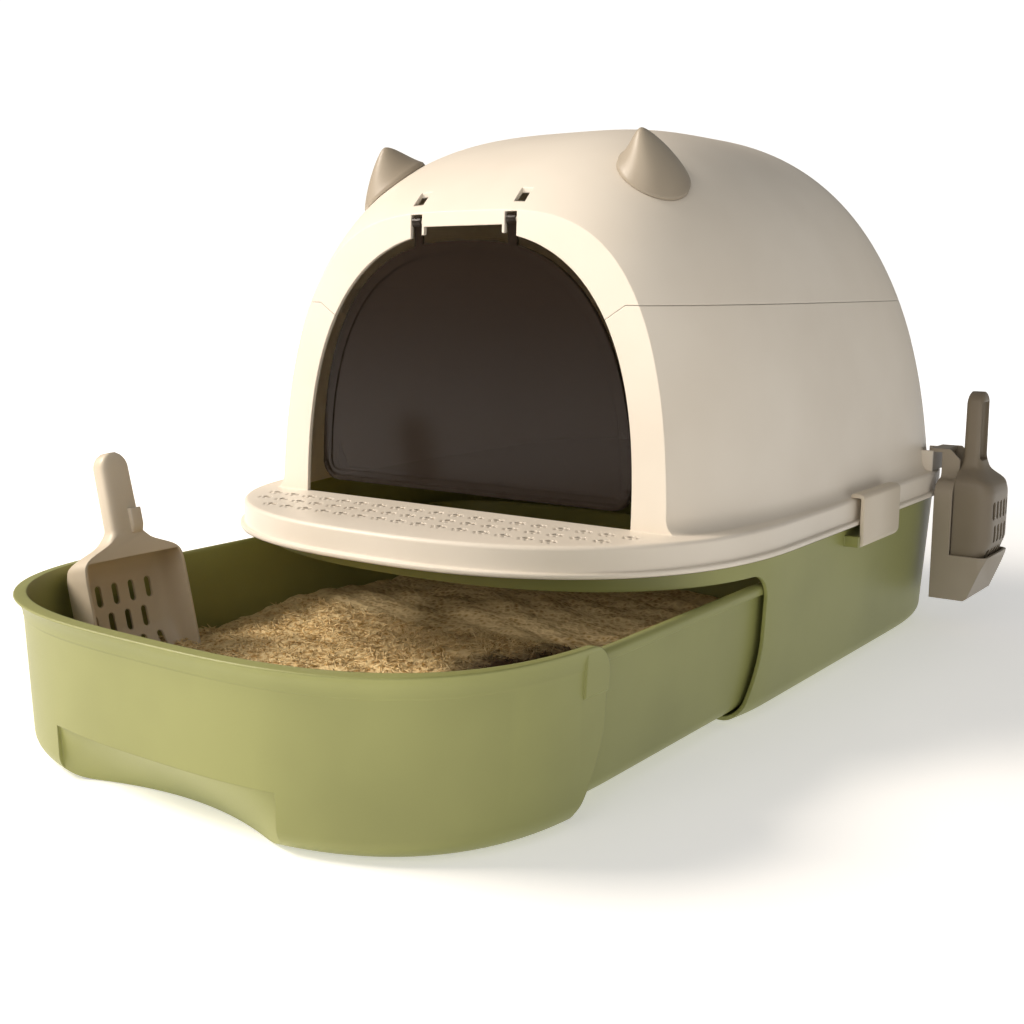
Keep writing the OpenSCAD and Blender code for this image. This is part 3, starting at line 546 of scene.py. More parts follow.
def hand_over(obj: bpy.types.Object, body: str, slot: str, *nodes: str) -> bpy.types.Object:
    """Puts a finished piece on its body, in place of its CAD nodes.

    Args:
        obj: The finished piece.
        body: The CAD body that it moves with.
        slot: The record's material slot; not used.
        nodes: The CAD nodes that it stands for.

    Returns:
        The piece.
    """
    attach(obj, body)
    if nodes:
        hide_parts(*nodes)
    LOG.info("%s rides on %s, %d faces", obj.name, body, len(obj.data.polygons))
    return obj


def clean(obj: bpy.types.Object, merge_mm: float = 0.05) -> bpy.types.Object:
    """Merges points that cutting left closer together than merge_mm."""
    bm = bmesh.new()
    bm.from_mesh(obj.data)
    bmesh.ops.remove_doubles(bm, verts=bm.verts, dist=merge_mm * MM)
    bmesh.ops.dissolve_degenerate(bm, edges=bm.edges, dist=0.01 * MM)
    bm.to_mesh(obj.data)
    bm.free()
    obj.data.update()
    return obj


def finish_piece(obj: bpy.types.Object, mat: bpy.types.Material, degrees: float, body: str,
                 slot: str, *nodes: str) -> bpy.types.Object:
    """Cleans, shades and dresses a piece and puts it on its body.

    Args:
        obj: The piece.
        mat: Its material.
        degrees: Edges over this angle stay sharp.
        body: The CAD body that it moves with.
        slot: The record's material slot; not used.
        nodes: The CAD nodes that it stands for.

    Returns:
        The piece.
    """
    dress(soften(clean(obj), degrees), mat)
    return hand_over(obj, body, slot, *nodes)


def round_edges(obj: bpy.types.Object, width: float, segments: int = 3,
                degrees: float = 35.0) -> bpy.types.Object:
    """Rounds every edge sharper than an angle.

    Args:
        obj: The piece.
        width: Width of the rounding in millimetres.
        segments: Faces across the rounding.
        degrees: Edges below this angle stay.

    Returns:
        The piece, with its new mesh.
    """
    mod = obj.modifiers.new("rounded edges", "BEVEL")
    mod.width = width * MM
    mod.segments = segments
    mod.limit_method = "ANGLE"
    mod.angle_limit = math.radians(degrees)
    mod.use_clamp_overlap = True
    mod.miter_outer = "MITER_ARC"
    return apply_modifiers(obj)


# ---------------------------------------------------------------------------- pieces


@dataclass(frozen=True)
class BasePlan:
    """Plan that rim, housing and drawer share, and their walls' draft."""

    front_turn: float = -84.0
    back_turn: float = 110.0
    front_n: float = 2.45
    drawer_n: float = 3.0
    back_n: float = 5.0
    rim_hw: float = 215.0
    rim_reach: float = 292.0
    shell_hw: float = 208.6
    shell_back: float = 285.6
    band_front: float = 262.0
    shell_top: float = 134.3
    draft: float = 0.06
    front_draft: float = 0.01

    def rings(self, hw, front, back, z, n: float | None = None) -> np.ndarray:
        """Rings with the shared straight sides and corners; n squares the front."""
        return plan(hw, front, back, self.front_turn, self.back_turn, n or self.front_n,
                    self.back_n, z)

    def rim(self, d, z) -> np.ndarray:
        """Rim outline drawn in by d, at heights z."""
        d = np.asarray(d, float)
        return self.rings(self.rim_hw - d, d - self.rim_reach, self.rim_reach - d, z)

    def half_width(self, z) -> np.ndarray:
        """Half-width of the housing's wall at heights z."""
        return self.shell_hw - self.draft * (self.shell_top - np.asarray(z, float))

    def back(self, z) -> np.ndarray:
        """Y of the housing's rear at heights z."""
        return self.shell_back - self.draft * (self.shell_top - np.asarray(z, float))

    def front(self, z) -> np.ndarray:
        """Distance of the housing's front from the origin at heights z."""
        return self.band_front - self.front_draft * (self.shell_top - np.asarray(z, float))

    def body(self, d, z) -> np.ndarray:
        """Housing outline drawn in by d at heights z."""
        d = np.asarray(d, float)
        return self.rings(self.half_width(z) - d, d - self.front(z), self.back(z) - d, z)

    def drawer(self, d, z, out=0.0, side=0.0) -> np.ndarray:
        """Outline of the drawer's squarer front, drawn in by d.

        Args:
            d: Insets.
            z: Heights.
            out: How far the front is pushed out.
            side: How far the sides are pushed out.

        Returns:
            Rings of points.
        """
        d = np.asarray(d, float)
        return self.rings(self.half_width(z) - d + np.asarray(side, float),
                          d - self.front(z) - np.asarray(out, float), self.back(z) - d, z,
                          self.drawer_n)

    def tub(self, d, z, wall: float = 2.6, side_gap: float = 1.6, rear_gap: float = 6.0,
            front: float = -250.0) -> np.ndarray:
        """Outline of the drawer's tub, drawn in by d."""
        d = np.asarray(d, float)
        return self.rings(self.half_width(z) - wall - side_gap - d, front + d,
                          self.back(z) - wall - rear_gap - d, z)

    def front_at(self, x: np.ndarray, z: float) -> np.ndarray:
        """Y of the drawer's front at x and z."""
        share = 1 - (np.abs(x) / self.half_width(z)) ** self.drawer_n
        return self.front_turn - (self.front(z) + self.front_turn) * share ** (1 / self.drawer_n)


PLAN = BasePlan()


def mouth_profile(dy: float, dz: float, top: float | None = None) -> np.ndarray:
    """Side view (Y, Z) of the drawer's mouth: rear edge swept forward at its foot.

    Below z 60 the edge is y = -110 - 21 ((60 - z) / 52)^1.9, and above it turns over in
    an arc of radius 20 up to the mouth's height.

    Args:
        dy: Shift of the rear edge along Y.
        dz: Shift of the upper edge.
        top: Where the edge runs on straight up instead, to this height.

    Returns:
        The profile's points.
    """
    z = np.linspace(8.0, 60.0, 25)
    y = -110.0 - 21.0 * ((60.0 - z) / 52.0) ** 1.9 + dy
    points = [[-FAR, -9.0], [-131.0 + dy, -9.0]]
    points += np.stack([y, z], axis=1).tolist()
    if top is None:
        inset, rise = corner(20.0, 0.0, 90.0, 14)
        arc = np.stack([-110.0 - rise + dy, 104.6 - inset + dz], axis=1)
        points += arc.tolist()
        points.append([-FAR, 104.6 + dz])
    else:
        points += [[-110.0 + dy, top], [-FAR, top]]
    return np.array(points)


@dataclass(frozen=True)
class HoodForm:
    """The dome: superellipses in plan that shrink upwards along a superellipse."""

    top: float = 411.2
    low: float = 37.0
    fillet_z: float = 149.0
    deck_z: float = DECK_Z
    hw: float = 202.4
    back: float = 279.0
    nose: float = 241.6
    mid: float = 53.6
    front_n: float = 3.64
    back_n: float = 6.0
    side_n: float = 3.05
    rear_n: float = 1.9
    face_y: float = -187.6
    lean: float = 0.0544

    def shrink(self, z, top: float, n: float) -> np.ndarray:
        """Share of the full width at heights z: (1 - s^n)^(1/n), 1 at the fillet."""
        s = np.clip((np.asarray(z, float) - self.low) / (top - self.low), 0, 1)
        s0 = (self.fillet_z - self.low) / (top - self.low)
        q = (1 - s**n) ** (1 / n) / (1 - s0**n) ** (1 / n)
        return np.where(np.asarray(z) <= self.fillet_z, 1.0, q)

    def rings(self, d, z) -> np.ndarray:
        """Dome outlines drawn in by d at heights z."""
        d = np.asarray(d, float)
        top = self.top - float(np.max(d)) if d.ndim == 0 or np.ptp(d) == 0 else self.top
        f, r = self.shrink(z, top, self.side_n), self.shrink(z, top, self.rear_n)
        return plan((self.hw - d) * f, self.mid - (self.mid + self.nose - d) * f,
                    self.mid + (self.back - d - self.mid) * r, self.mid - 1.0, self.mid,
                    self.front_n, self.back_n, z)

    def levels(self, za: float, zb: float | None, count: int, d: float = 0.0) -> np.ndarray:
        """Heights that follow the section's curve: s = sin(a)^(2/n) with a in even steps."""
        top = self.top - d
        n = self.side_n

        def angle(z: float) -> float:
            """Angle of a height on the section."""
            return math.asin(min(1.0, ((z - self.low) / (top - self.low)) ** (n / 2)))

        end = math.radians(89.3) if zb is None else angle(zb)
        t = np.linspace(0, 1, count + 1)
        if zb is None:
            t = 1 - (1 - t) ** 1.35
        a = angle(za) + (end - angle(za)) * t
        return self.low + (top - self.low) * np.sin(a) ** (2 / n)

    def solid(self, name: str, d: float, z0: float) -> bpy.types.Object:
        """Solid dome drawn in by d, from height z0 to the crown."""
        z = np.concatenate([[z0], self.levels(max(z0 + 1, self.fillet_z), None, 64, d)])
        return loft(name, self.rings(d, z))

    def behind(self, name: str, d: float) -> bpy.types.Object:
        """Everything behind the plane of the front face, set back by d."""
        lo, hi = self.deck_z - 60, self.deck_z + 320
        return prism(name, np.array([
            [self.face_y + self.lean * (lo - self.deck_z) + d, lo], [FAR, lo], [FAR, hi],
            [self.face_y + self.lean * (hi - self.deck_z) + d, hi]]), "x", -FAR, FAR)


HOOD = HoodForm()


@dataclass(frozen=True)
class DoorForm:
    """Outline of the door opening and its flap."""

    hw: float = 144.0
    top: float = 330.0
    n: float = 2.55
    foot: float = DECK_Z

    def outline(self, d: float, zb: float, count: int = 120) -> np.ndarray:
        """Arch (X, Z) drawn in by d with its foot at zb.

        x = (hw - d) se(cos a), z = foot + rise se(sin a), from the foot on one side
        over the top to the other.

        Args:
            d: Inset.
            zb: Height of the foot.
            count: Number of steps.

        Returns:
            Points of the arch.
        """
        rise = self.top - self.foot - d
        a0 = math.asin(((zb - self.foot) / rise) ** (self.n / 2))
        t = np.linspace(0, 1, count + 1)
        a = math.pi - a0 - (math.pi - 2 * a0) * t
        return np.stack([(self.hw - d) * signed_power(np.cos(a), self.n),
                         self.foot + rise * signed_power(np.maximum(np.sin(a), 0), self.n)], axis=1)


DOOR = DoorForm()


@dataclass
class Housing:
    """Lower box: floor, wall and the big mouth for the drawer."""

    shell: bpy.types.Material
    wall: float = 2.6
    foot_r: float = 14.0
    pad_h: float = 3.0
    floor_t: float = 3.0

    def build(self) -> bpy.types.Object:
        """Makes the shell, cuts the mouth and rounds its edges."""
        inset, rise = corner(self.foot_r, 0, 90, 10)
        r = self.foot_r - self.wall
        inset2, rise2 = corner(r, 0, 90, 8)
        d = np.concatenate([inset, [0.0, 0.6, self.wall - 0.6, self.wall],
                            self.wall + inset2[::-1]])
        z = np.concatenate([self.pad_h + rise, [133.7, 134.3], [134.3, 133.7],
                            self.pad_h + self.floor_t + rise2[::-1]])
        shell = loft("housing_shell", PLAN.body(d, z))
        combine(shell, prism("cut", mouth_profile(0, 0), "x", -FAR, FAR), Op.CUT)
        for s in (-1, 1):
            combine(shell, box("rib", (s * 110 - 3, -124, 4), (s * 110 + 3, 267, 7.6)), Op.ADD)
            self.bar(shell, s)
        return finish_piece(shell, self.shell, 32, "box", "green_shell", "housing")

    def bar(self, shell: bpy.types.Object, s: int) -> None:
        """Adds the bar that a side clip turns on, with its two brackets."""
        root = float(PLAN.half_width(BAR_Z)) - self.wall / 2
        lo, hi = CLIP_Y - 38, CLIP_Y + 38
        combine(shell, rods("bar", np.array([[s * BAR_X, 0, BAR_Z]]), np.array([2.5]), (0, 1, 0),
                            lo - 1, hi + 1, 32), Op.ADD)
        for y in (lo - 4, hi):
            x = sorted((s * root, s * 217.5))
            combine(shell, box("bracket", (x[0], y, 102), (x[1], y + 4, 110)), Op.ADD)


@dataclass
class LidBase:
    """Rim, platform with paw-print drainage holes and the hood's lower half, in one piece."""

    shell: bpy.types.Material
    deck_z: float = DECK_Z
    deck_t: float = 3.0
    skirt_h: float = 20.0
    bead_h: float = 3.6
    bead_out: float = 3.0
    skirt_t: float = 2.4
    deck_r: float = 3.0
    hood_t: float = 2.6
    face_t: float = 3.0
    part_z: float = PART_Z

    def tray(self) -> bpy.types.Object:
        """Platform and skirt: profile carried round the rim's outline."""
        foot = self.deck_z - self.skirt_h
        inner = self.bead_out + self.skirt_t
        a = np.radians(np.linspace(0, 90, 6))
        bead = 1.2
        d = [inner, inner, inner - 0.5, 0.5]
        z = [self.deck_z - self.deck_t, foot + 0.5, foot, foot]
        d += (bead * (1 - np.sin(a))).tolist()[1:] + (bead * (1 - np.cos(a))).tolist()
        z += (foot + bead * (1 - np.cos(a))).tolist()[1:]
        z += (foot + self.bead_h - bead + bead * np.sin(a)).tolist()
        d += [self.bead_out - 0.7, self.bead_out - 0.2, self.bead_out]
        z += [foot + self.bead_h, foot + self.bead_h + 0.3, foot + self.bead_h + 1.0]
        r = self.deck_r
        d += (self.bead_out + r * (1 - np.cos(a))).tolist()
        z += (self.deck_z - r + r * np.sin(a)).tolist()
        return loft("rim_platform", PLAN.rim(np.array(d), np.array(z)))

    def foot(self) -> bpy.types.Object:
        """Lower half of the hood with the fillet that runs out onto the platform."""
        w = PLAN.rim_hw - self.bead_out - self.deck_r - HOOD.hw - 0.4
        a = np.radians(np.linspace(90, 6, 12))
        rise = HOOD.fillet_z - self.deck_z
        z1 = HOOD.levels(HOOD.fillet_z, self.part_z, 30)
        d = np.concatenate([[-w], -w * (1 - np.cos(a)), np.zeros(len(z1))])
        z = np.concatenate([[self.deck_z - 1], HOOD.fillet_z - rise * np.sin(a), z1])
        return loft("foot", HOOD.rings(d, z))

    def cut_paws(self, lid: bpy.types.Object) -> None:
        """Cuts paw prints in three staggered rows: a broad pad of three lobes, and four toes."""
        lobes: dict[float, list] = {-1.5: [], 1.5: [], 0.0: []}
        toes = []
        for row in range(3):
            y = -206.0 - 20.0 * row
            reach = 215 * (1 - ((-84 - y) / 208) ** 2.45) ** (1 / 2.45) - 21
            shift = 0.5 * (row % 2)
            n = math.floor(reach / 17.4 - shift)
            for i in np.arange(-n - 2 * shift, n + 1):
                x = (i + shift) * 17.4
                for side, centres in lobes.items():
                    centres.append([x + side, y + 0.4 * abs(side), self.deck_z])
                for angle, far in ((-66, 5.4), (-23, 6.2), (23, 6.2), (66, 5.4)):
                    a = math.radians(angle)
                    toes.append([x + far * math.sin(a), y - far * math.cos(a), self.deck_z])
        # One tool for each lobe, because a tool that crosses itself breaks the cut.
        for centres, r in ((toes, 1.35), (lobes[-1.5], 2.4), (lobes[1.5], 2.4), (lobes[0.0], 2.7)):
            holes = rods("paws", np.array(centres), np.full(len(centres), r), (0, 0, 1), -9, 5, 14)
            combine(lid, holes, Op.CUT)

    def build(self) -> bpy.types.Object:
        """Joins rim and hood, hollows them and cuts the doorway, the parting and the paws."""
        lid = self.tray()
        foot = combine(self.foot(), HOOD.behind("face", 0), Op.KEEP)
        combine(lid, foot, Op.ADD)
        for s in (-1, 1):
            y = HOLDER_Y + s * (16 + 0.4 + 1.1) - 1.1
            combine(lid, box("socket", (194.4, y, 136.6), (209, y + 2.2, 155)), Op.ADD)
        z = np.concatenate([[self.deck_z - self.deck_t - 3],
                            HOOD.levels(HOOD.fillet_z, self.part_z + 4, 30, self.hood_t)])
        inner = loft("inner", HOOD.rings(self.hood_t, z))
        combine(inner, HOOD.behind("face", self.face_t), Op.KEEP)
        combine(lid, inner, Op.CUT)
        combine(lid, prism("doorway", DOOR.outline(0, self.deck_z), "y", -196, -163), Op.CUT)
        z = self.part_z
        top = [[STEP_OUT, z], [STEP_OUT, z + 2.6], [-STEP_OUT, z + 2.6]]
        step = np.array([[-STEP_OUT, z], [-STEP_IN, z - STEP_H], [STEP_IN, z - STEP_H], *top])
        combine(lid, prism("step", step, "y", -192, -165), Op.CUT)
        self.cut_paws(lid)
        return finish_piece(lid, self.shell, 32, "box", "cream_shell", "lid_base")


@dataclass
class UpperHood:
    """Dome over the parting, with hinge slots, bars and an inner lip."""

    shell: bpy.types.Material
    hood_t: float = 2.6
    face_t: float = 3.0
    part_z: float = PART_Z
    gap: float = 0.3
    notch_x: float = 34.0
    slot_w: float = 10.0
    slot_low: float = 316.0
    slot_top: float = 342.08
    window_w: float = 9.0
    window_top: float = 362.0
    pin_r: float = 2.0

    def build(self) -> bpy.types.Object:
        """Makes the dome, hollows it and cuts doorway, parting, notch, slots and windows."""
        hood = HOOD.solid("hood_upper", 0, self.part_z - 11)
        combine(hood, HOOD.behind("face", 0), Op.KEEP)
        inner = HOOD.solid("inner", self.hood_t, self.part_z - 14)
        combine(inner, HOOD.behind("face", self.face_t), Op.KEEP)
        combine(hood, inner, Op.CUT)
        combine(hood, box("below", (-350, -172.6, 220), (350, 500, self.part_z + self.gap)), Op.CUT)
        z, g = self.part_z, self.gap
        combine(hood, prism("step", np.array([
            [-350, z - 60], [-350, z + g], [-STEP_OUT, z + g], [-STEP_IN, z - STEP_H + g],
            [STEP_IN, z - STEP_H + g], [STEP_OUT, z + g], [350, z + g], [350, z - 60]]),
            "y", -248, -172.6), Op.CUT)
        combine(hood, prism("doorway", DOOR.outline(0, DECK_Z), "y", -196, -163), Op.CUT)
        n, w, half = self.notch_x, self.slot_w / 2, self.window_w / 2
        combine(hood, box("notch", (-n, -189.6, 325), (n, -165.6, 333.6)), Op.CUT)
        for x in (-HINGE_X, HINGE_X):
            combine(hood, box("slot", (x - w, -189.6, self.slot_low),
                              (x + w, -165.6, self.slot_top)), Op.CUT)
            x += math.copysign(3, x)
            combine(hood, box("window", (x - half, HINGE_Y + 3, 342),
                              (x + half, HINGE_Y + 13, self.window_top)), Op.CUT)
        for x in (-HINGE_X, HINGE_X):
            combine(hood, rods("bar", np.array([[x, HINGE_Y, HINGE_Z]]), np.array([self.pin_r]),
                               (1, 0, 0), -8, 8, 32), Op.ADD)
        self.lip(hood)
        return finish_piece(hood, self.shell, 32, "hood", "cream_shell", "upper_hood")

    def lip(self, hood: bpy.types.Object) -> None:
        """Adds the inner lip that reaches down inside the lower half and keeps the light out."""
        lo, hi = self.part_z - 9, self.part_z + 9
        same = np.full(2, self.part_z)
        outer = HOOD.rings(self.hood_t + 0.5, same)
        inner = HOOD.rings(self.hood_t + 2.7, same)
        outer[:, :, 2] = np.array([lo, hi])[:, None]
        inner[:, :, 2] = np.array([lo - 1, hi + 1])[:, None]
        ring = combine(loft("ring", outer), loft("hollow", inner), Op.CUT)
        combine(ring, box("span", (-350, -120, lo - 5), (350, 400, hi + 5)), Op.KEEP)
        combine(hood, ring, Op.ADD)


@dataclass
class DoorFlap:
    """Smoke-tinted swing door: bordered pane, inner ledge with two fins, and hinge eyes."""

    pane: bpy.types.Material
    y: float = HINGE_Y
    z: float = HINGE_Z
    t: float = 2.4
    sill: float = 146.6
    gap: float = 6.0
    foot_r: float = 15.0
    border_w: float = 8.0
    border_t: float = 0.9
    bead_t: float = 2.2
    ledge: float = 12.0
    fin_h: float = 22.0

    def outline(self, d: float) -> np.ndarray:
        """Arch drawn in by d whose lower corners are quarter circles of foot_r - d."""
        r = self.foot_r - (d - self.gap)
        zb = self.sill + d - self.gap
        arch = DOOR.outline(d, zb + r)
        a = np.radians(np.linspace(0, 90, 9))
        right = np.stack([arch[-1, 0] - r * (1 - np.cos(a)), zb + r * (1 - np.sin(a))], axis=1)
        left = right[::-1] * (-1, 1)
        return np.concatenate([arch, right[1:], left[:-1]])

    def band(self, name: str, d0: float, d1: float, lo: float, hi: float) -> bpy.types.Object:
        """Frame between two insets, from lo to hi along Y."""
        ring = prism(name, self.outline(d0), "y", lo, hi)
        return combine(ring, prism("hollow", self.outline(d1), "y", lo - 5, hi + 5), Op.CUT)

    def build(self) -> bpy.types.Object:
        """Makes the pane, its border and bead, the ledge behind it and the hinge eyes."""
        lo, hi = self.y - self.t / 2, self.y + self.t / 2
        flap = prism("door_pane", self.outline(self.gap), "y", lo, hi)
        d = self.gap
        combine(flap, self.band("border", d, d + self.border_w, lo - self.border_t, self.y), Op.ADD)
        bead = self.band("bead", d + 0.6, d + 4.6, lo - self.bead_t, self.y)
        combine(bead, box("foot", (-FAR, -FAR, 0), (FAR, FAR, self.sill + self.foot_r)), Op.KEEP)
        combine(flap, round_edges(bead, 0.8, 2), Op.ADD)
        self.shelf(flap, hi)
        for x in (-HINGE_X, HINGE_X):
            combine(flap, box("arm", (x - 3.5, lo, 308), (x + 3.5, hi, self.z)), Op.ADD)
            eye = rods("eye", np.array([[x, self.y, self.z]]), np.array([4.08]), (1, 0, 0),
                       -3.5, 3.5, 40)
            combine(flap, eye, Op.ADD)
            combine(flap, rods("bore", np.array([[x, self.y, self.z]]), np.array([2.08]),
                               (1, 0, 0), -7, 7, 32), Op.CUT)
        return finish_piece(flap, self.pane, 32, "door", "smoke_door", "door_flap")

    def shelf(self, flap: bpy.types.Object, hi: float) -> None:
        """Adds the ledge along the pane's inner foot and a three-cornered fin at each end."""
        z = self.sill + 7
        half = DOOR.hw - self.gap - 12
        combine(flap, box("ledge", (-half, hi - 1, z), (half, hi + self.ledge, z + 1.6)), Op.ADD)
        fin = np.array([[hi - 1, z + 0.4], [hi + self.ledge, z + 0.4],
                        [hi + 0.6, z + self.fin_h], [hi - 1, z + self.fin_h]])
        for s in (-1, 1):
            x = sorted((s * half, s * (half - 1.6)))
            combine(flap, prism("fin", fin, "x", x[0], x[1]), Op.ADD)


@dataclass
class Horn:
    """Ear-like horn on the hood, leaning forwards and up the slope."""

    shell: bpy.types.Material
    side: int
    h: float = 25.0
    w: float = 25.0
    d: float = 29.0
    lean: float = 12.0
    rise: float = 12.0

    def frame(self) -> Matrix:
        """Frame of the right horn: Z along its axis, X down the slope."""
        m = (Matrix.Translation((115, -115, 368.01)) @ Matrix.Rotation(math.radians(-34), 4, "Z")
             @ Matrix.Rotation(math.radians(38.7), 4, "Y"))
        return m if self.side > 0 else Matrix.Scale(-1, 4, (1, 0, 0)) @ m

    def build(self) -> bpy.types.Object:
        """Makes the horn: radius (1 - 0.985 u)^0.7, leaning by u^1.55, trimmed to the dome."""
        u = np.concatenate([[-0.5], 1 - (1 - np.linspace(0, 1, 48)) ** 2])
        v = np.maximum(u, 0)
        r = ((1 - 0.985 * v) ** 0.7)[:, None]
        b = (v**1.55)[:, None]
        a = np.linspace(0, 2 * math.pi, 72, endpoint=False)[None, :]
        x = self.d * r * np.cos(a) - self.rise * b
        y = self.w * r * np.sin(a) - self.lean * b
        z = np.broadcast_to((self.h * u)[:, None], x.shape)
        name = "horn_shell_right" if self.side > 0 else "horn_shell_left"
        horn = placed(loft(name, np.stack([x, y, z], axis=2)), self.frame())
        combine(horn, HOOD.solid("dome", -0.3, 280), Op.CUT)
        plug = rods("plug", np.zeros((1, 3)), np.array([6.0]), (0, 0, 1), -12, 6, 32)
        combine(horn, placed(plug, self.frame()), Op.ADD)
        side = "right" if self.side > 0 else "left"
        return finish_piece(horn, self.shell, 40, "horn_" + side, "taupe_trim", "horn_" + side)


@dataclass
class Drawer:
    """Pull-out drawer: flared round front, finger recess and a tub with a rolled rim."""

    shell: bpy.types.Material
    pull: float = 200.0
    skid: float = 0.6
    foot_r: float = 14.0
    wall: float = 2.6
    lip_top: float = 103.4
    lip_h: float = 13.0
    lip_out: float = 6.0
    lip_side: float = 2.4
    tab_w: float = 22.0
    tub_z: float = 7.9
    tub_r: float = 10.0
    roll_w: float = 3.6
    roll_h: float = 8.0
    side_top: float = 96.0
    grip_x: float = 92.0
    grip_h: float = 34.0
    grip_d: float = 32.0

    def grip(self, name: str, g: float) -> bpy.types.Object:
        """Finger recess grown by g: its roof curves from deep at the foot to the front face."""
        count = 12
        t = np.linspace(0, 1, count + 1)
        x = -(self.grip_x + g) * np.linspace(-1, 1, 49)
        low = -float(PLAN.front(0.0)) + self.grip_d + 2 - 24 * (x / 92) ** 2 + g
        top = PLAN.front_at(x, self.grip_h) + 1.5 + g
        y = low[None, :] + (top - low)[None, :] * (t**1.35)[:, None]
        z = -9 + (self.grip_h + g + 9) * t
        wide, high = np.broadcast_to(x, y.shape), np.broadcast_to(z[:, None], y.shape)
        rows = np.stack([wide, y, high], axis=2)
        ends = np.array([[-self.grip_x - g, -FAR], [self.grip_x + g, -FAR]])
        tails = np.stack([np.column_stack([ends, np.full(2, h)]) for h in z])
        return loft(name, np.concatenate([rows, tails], axis=1))

    def front(self) -> bpy.types.Object:
        """Solid front: rounded foot, wall, lip and the tabs at the lip's ends.

        The lip flares by lip_out (0.08 + 0.92 t^2.2), with t from 0 to 1 over its height, and
        its edge is rounded by 1.1.
        """
        inset, rise = corner(self.foot_r, 0, 90, 14)
        t = np.linspace(0, 1, 12)
        a = np.radians(np.linspace(0, 90, 5))[1:]
        r = 1.1
        base = self.lip_top - self.lip_h
        share = np.concatenate([np.zeros(len(inset) + 1), 0.08 + 0.92 * t**2.2,
                                1 - (r - r * np.cos(a)) / self.lip_out])
        d = np.concatenate([inset, np.zeros(1 + len(t) + len(a))])
        z = np.concatenate([self.skid + rise, [base - 0.4], base + t * (self.lip_h - r),
                            self.lip_top - r + r * np.sin(a)])
        solid = loft("front", PLAN.drawer(d, z, self.lip_out * share, self.lip_side * share))
        heights = [74.0, 75.4, 90.0, self.lip_top - 2]
        tab = loft("tab", PLAN.drawer([-0.2, -1.5, -1.5, -1.5], heights, [0, 0, 0, 2.0]))
        combine(tab, box("span", (-FAR, -112 - self.tab_w, 0), (FAR, -90, 120)), Op.KEEP)
        combine(solid, tab, Op.ADD)
        return combine(solid, prism("mouth", mouth_profile(-2.0, -1.2), "x", -FAR, FAR), Op.KEEP)

    def hollow(self, name: str, d: float) -> bpy.types.Object:
        """Inside of the front, drawn in by d."""
        inset, rise = corner(self.foot_r - self.wall, 0, 90, 10)
        dd = np.concatenate([d + inset, [d, d]])
        z = np.concatenate([self.skid + d + rise, [self.lip_top - 2, self.lip_top + 12]])
        return combine(loft(name, PLAN.drawer(dd, z)),
                       prism("side", mouth_profile(-2.0 - d, 0, 140), "x", -FAR, FAR), Op.KEEP)

    def inside(self, d: float, z: float) -> np.ndarray:
        """Rings of the tub's inside, drawn in by d, up to height z."""
        inset, rise = corner(self.tub_r - self.wall, 0, 90, 8)
        dd = np.append(self.roll_w + self.wall + d + inset, self.roll_w + self.wall + d)
        zz = np.append(self.tub_z + self.wall + d + rise, z)
        return PLAN.tub(dd, zz)

    def build(self) -> bpy.types.Object:
        """Joins tub and front, hollows them, and sets in the finger recess."""
        inset, rise = corner(self.tub_r, 0, 90, 10)
        top, roll = self.side_top, self.roll_h
        a = np.radians(np.linspace(0, 90, 6))
        r = 4.4
        d = np.concatenate([self.roll_w + inset, [self.roll_w, self.roll_w - 0.4, 0.6, 0.0],
                            r * (1 - np.cos(a))])
        z = np.concatenate([self.tub_z + rise, [top - roll, top - roll + 0.2, top - roll + 0.4,
                                                top - roll + 1.0], top - r + r * np.sin(a)])
        tub = loft("drawer_tub", PLAN.tub(d, z))
        combine(tub, self.front(), Op.ADD)
        edge = self.roll_w + self.wall
        mouth = PLAN.tub(edge - np.array([0.2, 0.7, 1.6]), top + np.array([-1.6, -0.6, 0.6]))
        rings = np.concatenate([self.inside(0, top - 3), mouth])
        combine(tub, loft("hollow", rings), Op.CUT)
        combine(tub, self.hollow("hollow", self.wall), Op.CUT)
        roof = combine(self.grip("roof", self.wall), self.front(), Op.KEEP)
        combine(tub, roof, Op.ADD)
        combine(tub, self.grip("recess", 0), Op.CUT)
        placed(tub, Matrix.Translation((0, -self.pull, 0)))
        return finish_piece(tub, self.shell, 32, "drawer", "green_shell", "drawer")


